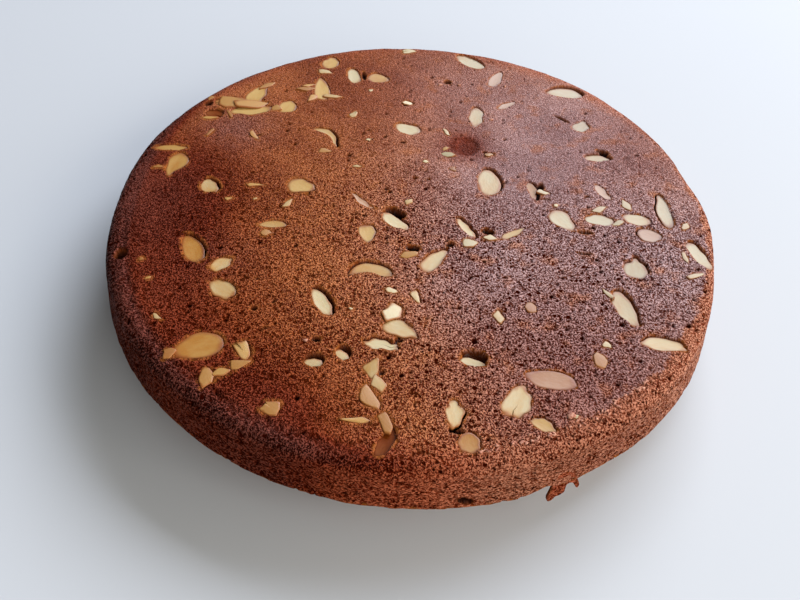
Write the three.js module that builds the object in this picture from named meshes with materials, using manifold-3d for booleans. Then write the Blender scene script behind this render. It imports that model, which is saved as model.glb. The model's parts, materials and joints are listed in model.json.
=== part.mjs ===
// A wide, flat chocolate sponge cake with sliced almonds: one uncut round.
// It is baked in a shallow tapered tin with the almonds strewn over the tin's base, and then
// turned out upside down. The tin's base gives the flat top, its slanted side the wall, which
// is widest at the rim, and the side that rose in the oven is the low dome underneath.
// Millimetres, +Z up, with the origin on the resting plane under the cake's middle.

import * as THREE from 'three';
import { mergeVertices } from 'three/addons/utils/BufferGeometryUtils.js';
import Module from 'manifold-3d';

const wasm = await Module();
wasm.setup();

// Driving dimensions of the sponge
const RIM_RADIUS = 138.7; // the tin's mouth
const WALL_TAPER = 2.5; // how much narrower the wall is where the shoulder starts
const WALL_HEIGHT = 22; // from the rim to the flat top, shoulder included
const SHOULDER_WIDTH = 7; // the rounded corner left by the tin's base
const SHOULDER_DROP = 5;
const DOME_HEIGHT = 15; // how far the risen side stands out past the rim
const DOME_CURVE = 1.6; // power that bends the dome up towards the rim
const REST_RADIUS = 66; // flat spot that the cake's weight presses into the dome
const LIP = 0.9; // rounding of the rim
const SIDE_WAVE = { count: 5, out: 0.25 }; // slow waves of the outline
const RIM_WAVE = { count: 3, start: 70, lift: 0.4 }; // and of the rim's level, start in degrees

// Driving dimensions of an almond slice and its pocket
const SLICE_THICKNESS = 1.2;
const FLOOR_GAP = 0.3; // under a slice
const SNUG = 0.4; // round a slice that the batter has closed on
const LOOSE = 0.9; // round a slice that has shrunk away from the crust
const SLICE_WAVE = { count: 3, share: 0.05, step: 1.7 }; // unevenness, different from slice to slice
const DEEPEST_SEAT = 0.95; // share of the shoulder's width down which almonds and hollows may lie
const PUNCH_HEIGHT = 6; // how far a pocket's cutter stands out above its slice

// Steps of the round shapes
const TURNS = 72;
const DOME_STEPS = 6;
const SHOULDER_STEPS = 4;
const SLICE_POINTS = 12;
const HOLLOW_TURNS = 10;
const HOLLOW_STEPS = 6;

const TOP = DOME_HEIGHT + WALL_HEIGHT;
const WALL_TOP_RADIUS = RIM_RADIUS - WALL_TAPER;
const FLAT_RADIUS = WALL_TOP_RADIUS - SHOULDER_WIDTH;
const UP = new THREE.Vector3(0, 0, 1);
const radians = THREE.MathUtils.degToRad;
const SAME_POINT = 1e-4; // corners closer than this are one

// Closed meshes pass to the solid modeller as bare positions and come back the same way.

function toSolid(geometry) {
  const bare = geometry.clone();
  bare.deleteAttribute('normal');
  bare.deleteAttribute('uv');
  const merged = mergeVertices(bare, SAME_POINT);
  return new wasm.Manifold(new wasm.Mesh({
    numProp: 3,
    vertProperties: new Float32Array(merged.attributes.position.array),
    triVerts: new Uint32Array(merged.index.array),
  }));
}

function toGeometry(solid) {
  const { vertProperties, triVerts } = solid.getMesh();
  const geometry = new THREE.BufferGeometry();
  geometry.setAttribute('position', new THREE.BufferAttribute(vertProperties, 3));
  geometry.setIndex(new THREE.BufferAttribute(triVerts, 1));
  geometry.computeVertexNormals();
  return geometry;
}

// The sponge: a turned profile, which then loses its perfect roundness. The crust bulges by a
// millimetre or two at the back and is pressed in at both sides, and the rim wanders up and
// down by about a millimetre.

function spongeProfile() {
  const profile = [new THREE.Vector2(0, 0)];
  for (let i = 0; i <= DOME_STEPS; i += 1) {
    const t = i / DOME_STEPS;
    const radius = THREE.MathUtils.lerp(REST_RADIUS, RIM_RADIUS - LIP, t);
    profile.push(new THREE.Vector2(radius, DOME_HEIGHT * t ** DOME_CURVE));
  }
  profile.push(new THREE.Vector2(RIM_RADIUS, DOME_HEIGHT + LIP));
  for (let i = 0; i <= SHOULDER_STEPS; i += 1) {
    const angle = (Math.PI / 2) * (i / SHOULDER_STEPS);
    profile.push(new THREE.Vector2(
      FLAT_RADIUS + SHOULDER_WIDTH * Math.cos(angle),
      TOP - SHOULDER_DROP + SHOULDER_DROP * Math.sin(angle),
    ));
  }
  profile.push(new THREE.Vector2(0, TOP));
  return profile;
}

const BULGES = [
  { azimuth: 115, spread: 25, out: 1.1 },
  { azimuth: 60, spread: 24, out: 2.2 },
  { azimuth: 14, spread: 7, out: -1.5 },
  { azimuth: -12, spread: 13, out: -1.6 },
  { azimuth: 182, spread: 13, out: -1.5 },
];
const CHIPPED_RIM = [
  { azimuth: -57, spread: 7, height: 1.6 },
  { azimuth: -129, spread: 6, height: 1.3 },
];

// A smooth bump of height 1 that fades out either side of an azimuth, all in degrees.
function bump(azimuth, middle, spread) {
  const away = THREE.MathUtils.euclideanModulo(azimuth - middle + 180, 360) - 180;
  return Math.exp(-((away / spread) ** 2));
}

function makeUneven(geometry) {
  const position = geometry.attributes.position;
  for (let i = 0; i < position.count; i += 1) {
    const x = position.getX(i);
    const y = position.getY(i);
    const z = position.getZ(i);
    const radius = Math.hypot(x, y);
    const azimuth = THREE.MathUtils.radToDeg(Math.atan2(y, x));
    const outward = THREE.MathUtils.smoothstep(radius, REST_RADIUS, FLAT_RADIUS);
    const atRim = THREE.MathUtils.smoothstep(radius, WALL_TOP_RADIUS, RIM_RADIUS - LIP);
    let out = SIDE_WAVE.out * Math.sin(radians(SIDE_WAVE.count * azimuth));
    BULGES.forEach((bulge) => {
      out += bulge.out * bump(azimuth, bulge.azimuth, bulge.spread);
    });
    const scale = radius > 0 ? 1 + (outward * out) / radius : 1;
    let lift = RIM_WAVE.lift * Math.sin(radians(RIM_WAVE.count * azimuth + RIM_WAVE.start));
    CHIPPED_RIM.forEach((chip) => {
      lift += chip.height * bump(azimuth, chip.azimuth, chip.spread);
    });
    position.setXYZ(i, x * scale, y * scale, z + atRim * lift);
  }
  return geometry;
}

function makeSponge() {
  const turned = new THREE.LatheGeometry(spongeProfile(), TURNS);
  turned.rotateX(Math.PI / 2);
  return toSolid(makeUneven(turned));
}

// A strip of crust has torn loose at the front right of the rim. It stays attached at its
// wide end and hangs beside the wall with its point down and to the left.

const FLAP = { azimuth: -63.5, thickness: 1.6 };

function makeFlap() {
  const outline = new THREE.Shape();
  outline.moveTo(-3.4, 5.5);
  outline.lineTo(-5.2, 0.6);
  outline.quadraticCurveTo(-6.4, -3.4, -6, -6);
  outline.lineTo(0.6, -6.6);
  outline.lineTo(2.6, -2.8);
  outline.lineTo(4.8, -2.4);
  outline.lineTo(4.4, 5.5);
  outline.closePath();
  const strip = new THREE.ExtrudeGeometry(outline, {
    depth: FLAP.thickness,
    bevelEnabled: false,
    curveSegments: 3,
  });
  strip.translate(0, 0, -FLAP.thickness);
  // The strip's own x runs along the rim, y up the slanted wall and z out from it.
  const azimuth = radians(FLAP.azimuth);
  const outwards = new THREE.Vector3(Math.cos(azimuth), Math.sin(azimuth), 0);
  const along = new THREE.Vector3().crossVectors(UP, outwards);
  const flare = Math.atan2(WALL_TAPER, WALL_HEIGHT - SHOULDER_DROP - LIP);
  const frame = new THREE.Matrix4().makeRotationAxis(along, -flare);
  frame.multiply(new THREE.Matrix4().makeBasis(along, UP, outwards));
  frame.setPosition(outwards.multiplyScalar(RIM_RADIUS).setZ(DOME_HEIGHT));
  return toSolid(strip.applyMatrix4(frame));
}

// Hollows in the crust, where gas or a lost slice has left a hole: the middle in plan, length,
// width, heading in degrees and depth. Each is the lower half of an ellipsoid.

const TOP_HOLLOWS = [
  [-8, -4.6, 11, 5.4, -28, 4], // the big one beside a white slice
  [-122, -41, 7.5, 6, 100, 4.5], // at the left edge
  [24.6, 46.5, 15, 12, 80, 1.2], // a shallow dimple
  [13.8, 101.6, 4.6, 4, 0, 3],
  [-108.4, 69.4, 5.4, 4.2, 50, 3],
  [91, 48.6, 7, 4, -25, 2.5],
  [58, 17.6, 9, 4.6, 75, 2.5],
  [27, -83.6, 11, 6, -15, 3],
  [-34, -90.2, 8.4, 7, 0, 2.6],
  [-23.2, -85.8, 7.6, 6.4, 110, 2.6],
  [-34.6, -80.3, 4, 3, 0, 2],
  [16.8, -23.2, 4.6, 3.4, 30, 2.5],
  [-31.2, 103, 8.6, 3, 100, 2.2],
  [0.6, -27, 7, 4, -8, 2.2],
  [33.4, -13.6, 6.4, 4.2, -15, 2.2],
  [-2.6, -78.2, 3.8, 3.2, 0, 2.2],
  [20.2, -118, 7, 2.6, -8, 2],
  [74.6, -23.6, 7.6, 2.2, -4, 1.6],
  [73.2, 74.4, 11, 2.6, -38, 1.8],
];

const WALL_HOLLOW = { azimuth: -78.9, height: 18.5, length: 5.6, width: 3, depth: 3 };

function makeBowl(length, width, depth) {
  const ball = new THREE.SphereGeometry(1, HOLLOW_TURNS, HOLLOW_STEPS);
  return ball.rotateX(Math.PI / 2).scale(length / 2, width / 2, depth);
}

function makeTopHollow([x, y, length, width, heading, depth]) {
  const bowl = makeBowl(length, width, depth).rotateZ(radians(heading));
  return toSolid(bowl.translate(x, y, TOP - crustDrop(Math.hypot(x, y))));
}

function makeWallHollow({ azimuth, height, length, width, depth }) {
  const turn = radians(azimuth);
  const bowl = makeBowl(depth * 2, length, width / 2).rotateZ(turn);
  return toSolid(bowl.translate(
    RIM_RADIUS * Math.cos(turn),
    RIM_RADIUS * Math.sin(turn),
    height,
  ));
}

// How far the crust lies below the flat top at a distance from the middle.
function crustDrop(radius) {
  const past = THREE.MathUtils.clamp((radius - FLAT_RADIUS) / SHOULDER_WIDTH, 0, DEEPEST_SEAT);
  return SHOULDER_DROP * (1 - Math.sqrt(1 - past * past));
}

// The almond slices and large pieces of slices, which are some 9 to 23 mm long. Each row has
// the middle in plan, the length, the greatest width, the heading of the pointed end in
// degrees, how much narrower that end is, how far the middle bows to the left, how deep the
// face lies, the room round the slice, and how far the oven has browned it.

const SLICES = [
  [-50.7, 113.8, 12, 9.4, 80, 0.1, 0, 0.4, SNUG, 'golden'],
  [-52.6, 88.5, 21, 8.4, 101, 0.3, 0, 0.3, SNUG, 'golden'],
  [-85.2, 80.3, 18.6, 9, 71, 0.45, 0, 0.3, SNUG, 'golden'],
  [-85.8, 66.1, 22, 8, 14, 0, 0, 0.5, SNUG, 'golden'],
  [-68.3, 70.6, 11.4, 9.8, 70, 0, 0, 0.4, SNUG, 'golden'],
  [-99.8, 72.6, 13.2, 6.8, 20, 0.2, 0, 0.7, SNUG, 'toasted'],
  [-103.6, 61.4, 10, 8, -20, 0, 0, 0.9, SNUG, 'toasted'],
  [-119, 31.6, 16.4, 4.4, 184, 0.2, 0, 0.3, SNUG, 'golden'],
  [-113.3, 19.7, 17.2, 8.8, -101, 0.3, 0, 0.3, SNUG, 'golden'],
  [-94.8, 5.9, 10.6, 7.8, 120, 0.2, 0, 0.8, LOOSE, 'pale'],
  [-52.3, 9.6, 13.4, 9.6, -8, 0.5, 0, 0.3, SNUG, 'golden'],
  [-93.1, -34.8, 18.4, 8.8, 120, 0.2, 0, 1, LOOSE, 'golden'],
  [-79.1, -43.3, 10.2, 7, 45, 0.2, 0, 0.4, SNUG, 'pale'],
  [-75.9, -56.9, 13, 9, 145, 0.15, 0, 0.5, SNUG, 'pale'],
  [-79.3, -87.6, 19.4, 12.6, 202, 0.4, 0, 0.3, SNUG, 'golden'],
  [-36.8, 102.6, 15, 7, 107, 0, 0, 0.5, SNUG, 'pale'],
  [-23.9, 101.6, 12, 8.8, -12, 0, 0, 0.4, SNUG, 'golden'],
  [-6, 58.2, 14, 8.6, 158, 0.3, 0, 0.4, SNUG, 'pale'],
  [26.2, 123.4, 19.6, 9.4, -40, 0.1, 0, 0.5, SNUG, 'pale'],
  [39.9, 107.5, 16.8, 6.4, 68, 0.2, 0, 0.4, SNUG, 'rosy'],
  [45, 83.5, 12, 3.8, 37, 0.2, 0, 0.2, SNUG, 'rosy'],
  [28.8, 71.2, 17.4, 7.4, -94, 0.3, 0, 0.4, SNUG, 'pale'],
  [76.2, 98.6, 19.4, 10, 177, 0.2, 0, 0.8, LOOSE, 'pale'],
  [82.4, 69.2, 10.4, 8, 55, 0.2, 0, 0.5, SNUG, 'pale'],
  [87.8, 44, 13, 6, 0, 0.1, 0, 1, SNUG, 'pale'],
  [54.4, 17, 12.4, 4.2, 100, 0.2, 0, 0.7, SNUG, 'golden'],
  [87.4, 18.1, 12, 4.4, -62, 0.1, 0, 0.3, SNUG, 'rosy'],
  [67, -3, 15, 9.4, -57, 0.1, 0, 0.3, SNUG, 'pale'],
  [84, -1.4, 13.4, 7.4, -5, 0, 0, 0.4, SNUG, 'pale'],
  [101.2, 0.4, 13, 7.6, -12, 0.1, 0, 0.4, SNUG, 'pale'],
  [105.4, -9.2, 11, 8.8, -15, 0, 0, 0.5, SNUG, 'rosy'],
  [114.8, 7.8, 23.2, 6.6, 93, 0.15, 0, 0.7, LOOSE, 'pale'],
  [125, -20, 17.6, 6.6, 114, 0.1, 0, 0.5, LOOSE, 'pale'],
  [96.1, -31, 11.8, 10.2, 80, 0.2, 0, 0.6, SNUG, 'pale'],
  [88.6, -54, 20.2, 8, -72, 0.15, 0, 0.8, LOOSE, 'pale'],
  [101.3, -71.8, 17.8, 7, -4, 0, 0, 0.6, SNUG, 'pale'],
  [55.9, -92.8, 19.6, 9, -7, 0.1, 0, 0.3, SNUG, 'rosy'],
  [42.4, -103.6, 15.6, 10.2, 66, 0.1, 0, 0.4, SNUG, 'pale'],
  [51.2, -113, 9.6, 5.2, -25, 0, 0, 0.4, SNUG, 'golden'],
  [24.6, -122.3, 8.8, 8.2, 95, 0.2, 0, 0.3, SNUG, 'golden'],
  [19.3, -110.8, 12, 6.6, -90, 0.2, 0, 0.4, SNUG, 'pale'],
  [26.2, -86.2, 11, 4.8, -12, 0, 0, 1.8, SNUG, 'pale'],
  [-2.4, -72.4, 15, 8.2, -22, 0.2, 0, 0.4, SNUG, 'pale'],
  [-9.3, -81, 14, 5, -8, 0, 0, 0.6, SNUG, 'pale'],
  [-35, -60.4, 16.6, 6.2, 122, 0.15, 0, 1, LOOSE, 'pale'],
  [-16.2, -42, 19.4, 6.6, 0, 0, 3.4, 0.8, LOOSE, 'pale'],
  [9.9, -33.5, 16.8, 7.4, 54, 0.25, 0, 0.5, SNUG, 'pale'],
  [-8.6, -10.2, 15.6, 6.2, 140, 0.3, 0, 0.6, SNUG, 'pale'],
  [-23.6, 1.4, 15.6, 2.6, -43, 0, -0.8, 0.2, SNUG, 'rosy'],
  [-19.8, -19.5, 11.8, 7.4, -80, 0.4, 0, 0.4, SNUG, 'golden'],
  [23.4, -12, 14.2, 3.8, 124, 0.1, 0, 0.4, SNUG, 'pale'],
  [44.4, -13.9, 13.2, 3.4, 36, 0.1, 0, 0.2, SNUG, 'golden'],
  [34.4, 20.4, 19.2, 11, 95, 0.1, 0, 0.6, LOOSE, 'pale'],
  [-45.6, 49, 19.2, 3.6, -43, 0, 3.8, 0.4, SNUG, 'pale'],
  [-61.4, -17.4, 12.4, 4.8, 4, 0, 0, 0.3, SNUG, 'pale'],
  [-4.6, -124, 13.6, 5.6, 65, 0.2, 0, 1.1, SNUG, 'toasted'],
];

// The outline of a slice cut lengthwise through an almond, or of a piece of one. The long
// sides are a little uneven, each slice in its own way.
function sliceOutline(length, width, pointed, bow, phase) {
  const corners = [];
  for (let i = 0; i < SLICE_POINTS; i += 1) {
    const turn = (2 * Math.PI * (i + 0.5)) / SLICE_POINTS;
    const along = Math.cos(turn);
    const across = Math.sin(turn) * (1 - pointed * along);
    const uneven = 1 + SLICE_WAVE.share * Math.sin(SLICE_WAVE.count * turn + phase);
    const x = (length / 2) * along * uneven;
    const y = (width / 2) * across * uneven;
    corners.push(new THREE.Vector2(x, y + bow * (0.5 - along * along)));
  }
  return new THREE.Shape(corners);
}

// A slice lies in the crust's surface, so one that reaches over the shoulder leans outwards.
function seat([x, y, length, width, heading, , , sunk]) {
  const radius = Math.hypot(x, y);
  const azimuth = Math.atan2(y, x);
  const across = radians(heading) - azimuth;
  const reach = Math.hypot((length / 2) * Math.cos(across), (width / 2) * Math.sin(across));
  const drop = crustDrop(radius + reach);
  const hinge = new THREE.Vector3(-Math.sin(azimuth), Math.cos(azimuth), 0);
  const lean = new THREE.Quaternion().setFromAxisAngle(hinge, Math.atan2(drop, 2 * reach));
  const turn = new THREE.Quaternion().setFromAxisAngle(UP, radians(heading));
  return {
    position: new THREE.Vector3(x, y, TOP - sunk - drop / 2),
    quaternion: lean.multiply(turn),
  };
}

function makeSlice(slice, phase) {
  const [, , length, width, , pointed, bow] = slice;
  const outline = sliceOutline(length, width, pointed, bow, phase);
  const geometry = new THREE.ExtrudeGeometry(outline, {
    depth: SLICE_THICKNESS,
    bevelEnabled: false,
  });
  return geometry.translate(0, 0, -SLICE_THICKNESS);
}

function makePocket(slice, phase) {
  const [, , length, width, , pointed, bow, , room] = slice;
  const outline = sliceOutline(length + 2 * room, width + 2 * room, pointed, bow, phase);
  const punch = new THREE.ExtrudeGeometry(outline, {
    depth: PUNCH_HEIGHT + SLICE_THICKNESS + FLOOR_GAP,
    bevelEnabled: false,
  });
  punch.translate(0, 0, -SLICE_THICKNESS - FLOOR_GAP);
  const { position, quaternion } = seat(slice);
  return toSolid(punch.applyMatrix4(
    new THREE.Matrix4().compose(position, quaternion, new THREE.Vector3(1, 1, 1)),
  ));
}

const COLOURS = {
  crust: '#6b3c2c',
  pale: '#e3d2ae',
  golden: '#d0a468',
  rosy: '#cf9f7f',
  toasted: '#8f5a30',
};

function makeMaterial(name) {
  return new THREE.MeshStandardMaterial({ color: COLOURS[name], roughness: 0.8, metalness: 0 });
}

function phaseOf(index) {
  return SLICE_WAVE.step * index;
}

let sponge = makeSponge().add(makeFlap());
TOP_HOLLOWS.forEach((hollow) => {
  sponge = sponge.subtract(makeTopHollow(hollow));
});
sponge = sponge.subtract(makeWallHollow(WALL_HOLLOW));
SLICES.forEach((slice, index) => {
  sponge = sponge.subtract(makePocket(slice, phaseOf(index)));
});

const cake = new THREE.Group();

const spongeMesh = new THREE.Mesh(toGeometry(sponge), makeMaterial('crust'));
spongeMesh.name = 'sponge';
cake.add(spongeMesh);

SLICES.forEach((slice, index) => {
  const browning = slice[slice.length - 1];
  const mesh = new THREE.Mesh(makeSlice(slice, phaseOf(index)), makeMaterial(browning));
  const { position, quaternion } = seat(slice);
  mesh.name = `almond_${String(index + 1).padStart(2, '0')}`;
  mesh.position.copy(position);
  mesh.quaternion.copy(quaternion);
  cake.add(mesh);
});

export default cake;
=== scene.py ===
# A wide, flat chocolate sponge cake with sliced almonds, uncut. The almonds were strewn over the
# base of a shallow tapered tin, the batter was poured over them, and the cake was turned out
# upside down. The sections follow that order: almonds, crust, wall, torn strip, crumbs, underside.

import json
import math

import bmesh
import bpy
import numpy as np
from mathutils import Matrix, Vector


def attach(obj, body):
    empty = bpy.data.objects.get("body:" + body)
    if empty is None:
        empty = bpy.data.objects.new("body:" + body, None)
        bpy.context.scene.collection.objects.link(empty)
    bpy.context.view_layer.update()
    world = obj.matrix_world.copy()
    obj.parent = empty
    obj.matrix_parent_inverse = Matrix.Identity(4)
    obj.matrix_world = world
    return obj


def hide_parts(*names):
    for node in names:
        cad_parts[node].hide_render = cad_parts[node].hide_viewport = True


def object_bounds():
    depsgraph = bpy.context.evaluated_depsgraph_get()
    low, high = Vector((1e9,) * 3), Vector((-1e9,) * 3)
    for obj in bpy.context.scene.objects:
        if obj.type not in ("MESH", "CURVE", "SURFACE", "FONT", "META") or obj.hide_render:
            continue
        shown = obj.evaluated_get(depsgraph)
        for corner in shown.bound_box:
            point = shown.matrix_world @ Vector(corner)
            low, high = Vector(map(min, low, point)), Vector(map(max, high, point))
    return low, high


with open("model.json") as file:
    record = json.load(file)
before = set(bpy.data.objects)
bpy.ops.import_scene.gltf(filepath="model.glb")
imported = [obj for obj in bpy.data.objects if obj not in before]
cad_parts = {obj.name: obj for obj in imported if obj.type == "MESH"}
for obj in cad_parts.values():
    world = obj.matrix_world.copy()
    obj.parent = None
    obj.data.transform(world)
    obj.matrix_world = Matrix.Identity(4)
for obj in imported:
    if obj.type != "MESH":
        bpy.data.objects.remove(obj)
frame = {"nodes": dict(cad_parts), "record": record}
cad_low, cad_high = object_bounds()


# ---------------------------------------------------------------------------------------------
# Almond slices. Blanched almonds cut lengthwise into flat slices of a little over a millimetre.
# Each lies flat in the crust with its cut face up. The batter has closed over its edge, which
# has browned, and the oven has taken each slice to its own shade.

MM = 0.001
SLICE_THICKNESS = 1.2 * MM
EDGE_ROUNDING = 0.16 * MM
CURVE_STEPS = 4  # outline points between two corners
chance = np.random.default_rng(28)


def srgb(code):
    """The linear RGBA colour of an sRGB hex code."""
    channels = [int(code[i:i + 2], 16) / 255 for i in (1, 3, 5)]
    return [c / 12.92 if c <= 0.04045 else ((c + 0.055) / 1.055) ** 2.4 for c in channels] + [1]


def feed(tree, node, inputs):
    """Gives a node its inputs by name or number: values, or the nodes or sockets behind them."""
    for key, value in inputs.items():
        if isinstance(value, bpy.types.Node):
            value = next(socket for socket in value.outputs if socket.enabled)
        if isinstance(value, bpy.types.NodeSocket):
            tree.links.new(value, node.inputs[key])
        else:
            node.inputs[key].default_value = value


def add(tree, kind, *inputs, **settings):
    """Adds a node. Its inputs come in their order, or by name or number in a dict."""
    node = tree.nodes.new(kind)
    for name, value in settings.items():
        setattr(node, name, value)
    for number, value in enumerate(inputs):
        feed(tree, node, value if isinstance(value, dict) else {number: value})
    return node


def new_material(name):
    """A new node material, with its tree and its shader."""
    material = bpy.data.materials.new(name)
    material.use_nodes = True
    shader = material.node_tree.nodes["Principled BSDF"]
    return material, material.node_tree, shader


def mesh_object(name, points, faces, smooth=True):
    """A mesh object at the origin."""
    mesh = bpy.data.meshes.new(name)
    mesh.from_pydata([tuple(p) for p in points], [], faces)
    mesh.polygons.foreach_set("use_smooth", [smooth] * len(mesh.polygons))
    obj = bpy.data.objects.new(name, mesh)
    bpy.context.scene.collection.objects.link(obj)
    return obj


def set_attribute(mesh, name, values, kind="FLOAT"):
    """Stores one value for each point of the mesh."""
    layer = mesh.attributes.new(name, kind, "POINT")
    key = "vector" if kind == "FLOAT_VECTOR" else "value"
    layer.data.foreach_set(key, np.asarray(values, np.float32).ravel())


def rounded_loop(corners, steps):
    """A smooth closed curve through the corners."""
    before, here = np.roll(corners, 1, 0), corners
    after, beyond = np.roll(corners, -1, 0), np.roll(corners, -2, 0)
    rows = []
    for i in range(steps):
        t = i / steps
        rows.append(
            0.5 * (
                2 * here
                + (after - before) * t
                + (2 * before - 5 * here + 4 * after - beyond) * t ** 2
                + (3 * here - before - 3 * after + beyond) * t ** 3
            )
        )
    return np.stack(rows, 1).reshape(-1, corners.shape[1])


class Slice:
    """Where a slice lies: its middle, axes (along, across, up) and outline, and the gap beside it."""

    def __init__(self, name, centre, axes, loop, room=0.0, toward=0.0):
        self.name = name
        self.centre = np.asarray(centre, float)
        self.axes = np.asarray(axes, float)
        self.loop = np.asarray(loop, float)
        self.room = room
        self.toward = toward


def slice_from_solid(name):
    """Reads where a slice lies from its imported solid."""
    solid = bmesh.new()
    solid.from_mesh(frame["nodes"][name].data)
    bmesh.ops.remove_doubles(solid, verts=solid.verts, dist=1e-6)
    cap = [f for f in solid.faces if f.normal.z > 0.8]
    rim = [e for f in cap for e in f.edges if sum(g in cap for g in e.link_faces) == 1]
    walk = [rim[0].verts[0], rim[0].verts[1]]
    while len(walk) < len(rim):
        ahead = [e for e in rim if walk[-1] in e.verts and walk[-2] not in e.verts][0]
        walk.append(ahead.other_vert(walk[-1]))
    corners = np.array([v.co for v in walk], float)
    up = np.array(cap[0].normal, float)
    solid.free()
    centre = corners.mean(0)
    along = np.linalg.svd(corners - centre)[2][0]
    along -= up * (along @ up)
    along /= np.linalg.norm(along)
    axes = np.array([along, np.cross(up, along), up])
    flat = ((corners - centre) @ axes.T)[:, :2]
    turned = np.cross(flat[0] - flat[-1], flat[1] - flat[0])
    if turned < 0:
        flat = flat[::-1]
    return Slice(name, centre, axes, rounded_loop(flat, CURVE_STEPS))


def roughen(outline, amount, seed):
    """Makes an outline uneven by a few waves, in the way that a knife and a break leave it."""
    waves = np.random.default_rng(seed)
    turn = np.linspace(0, 2 * math.pi, len(outline), endpoint=False)
    uneven = sum(
        waves.normal(0, 1 / n ** 0.7) * np.sin(n * turn + waves.uniform(0, 6)) for n in range(3, 9)
    )
    tangent = np.roll(outline, -1, 0) - np.roll(outline, 1, 0)
    normal = np.stack([tangent[:, 1], -tangent[:, 0]], 1)
    normal /= np.linalg.norm(normal, axis=1)[:, None]
    return outline + normal * (amount * uneven)[:, None]


def spine_at(loop, x):
    """The middle between the two long sides of an outline."""
    n = len(loop)
    edges = [(loop[i], loop[(i + 1) % n]) for i in range(n)]
    x = np.atleast_1d(x)
    result = np.zeros(len(x))
    for k, value in enumerate(x):
        hits = [
            a[1] + (b[1] - a[1]) * (value - a[0]) / (b[0] - a[0])
            for a, b in edges if (a[0] - value) * (b[0] - value) < 0
        ]
        result[k] = (min(hits) + max(hits)) / 2 if hits else loop[np.argmin(abs(loop[:, 0] - value)), 1]
    return result


SHARES = [1, 0.985, 0.93, 0.8, 0.6, 0.38, 0.18]  # rings of a face, from the edge inwards


def slice_mesh(piece, thickness, dish):
    """Points and faces of a slice: a face that dips in its middle, the cut side and a plain back."""
    loop = piece.loop
    n = len(loop)
    middle = spine_at(loop, loop[:, 0] * 0.999)
    rings = []
    for share in SHARES:
        x = loop[:, 0] * share
        y = spine_at(loop, x * 0.999) + (loop[:, 1] - middle) * share
        lip = EDGE_ROUNDING * max(0, 1 - (1 - share) / 0.05)
        lift = -lip - dish * (1 - share ** 2) + 0 * x
        rings.append(np.stack([x, y, lift], 1))
    heart = np.array([[0, spine_at(loop, 0.0)[0], -dish]])
    back = rings[0].copy()
    back[:, 2] = -thickness
    points = np.concatenate(rings + [heart, back])
    faces = []
    for r in range(len(SHARES) - 1):
        for i in range(n):
            j = (i + 1) % n
            faces.append((r * n + i, r * n + j, (r + 1) * n + j, (r + 1) * n + i))
    last, tip = (len(SHARES) - 1) * n, len(SHARES) * n
    faces += [(last + i, last + (i + 1) % n, tip) for i in range(n)]
    under = tip + 1
    faces += [(i, under + i, under + (i + 1) % n, (i + 1) % n) for i in range(n)]
    faces.append(tuple(under + i for i in reversed(range(n))))
    inner = np.concatenate([np.full(n, 1 - s) for s in SHARES] + [[1], np.zeros(n)])
    return points, faces, inner


slices = [slice_from_solid(name) for name in sorted(frame["nodes"]) if name.startswith("almond")]
# Slices that the crust has drawn back from, by number: the gap in millimetres, and its heading
# in degrees.
LOOSE = {
    10: (1.3, 20), 11: (0.8, -60), 12: (0.9, 35), 14: (0.8, -70), 22: (0.5, 75), 23: (1.2, 60),
    25: (1.2, 35), 26: (1.8, -20), 28: (0.5, 80), 31: (1.1, 200), 32: (1.3, 215), 33: (1.0, 55),
    34: (1.5, 55), 35: (1.2, 50), 36: (0.8, 85), 39: (0.6, 50), 40: (0.5, 40), 41: (1.3, -75),
    43: (0.7, -80), 44: (1.0, 90), 45: (1.5, 40), 46: (1.2, 120), 47: (0.9, 75), 48: (1.0, 70),
    50: (0.4, 30), 51: (1.5, 45), 53: (1.7, 50), 54: (1.5, -15),
}
# Slices that broke or split, whose edges are ragged.
SPLIT = (13, 24, 27, 34, 35, 38, 41, 43, 44, 46, 48, 54)
for number, piece in enumerate(slices, 1):
    uneven = 0.6 if number in SPLIT else 0.32
    piece.loop = roughen(piece.loop, uneven * MM, 99 + number)
    width, heading = LOOSE.get(number, (0.25, 45))
    piece.room, piece.toward = width * MM, math.radians(heading)


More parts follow.
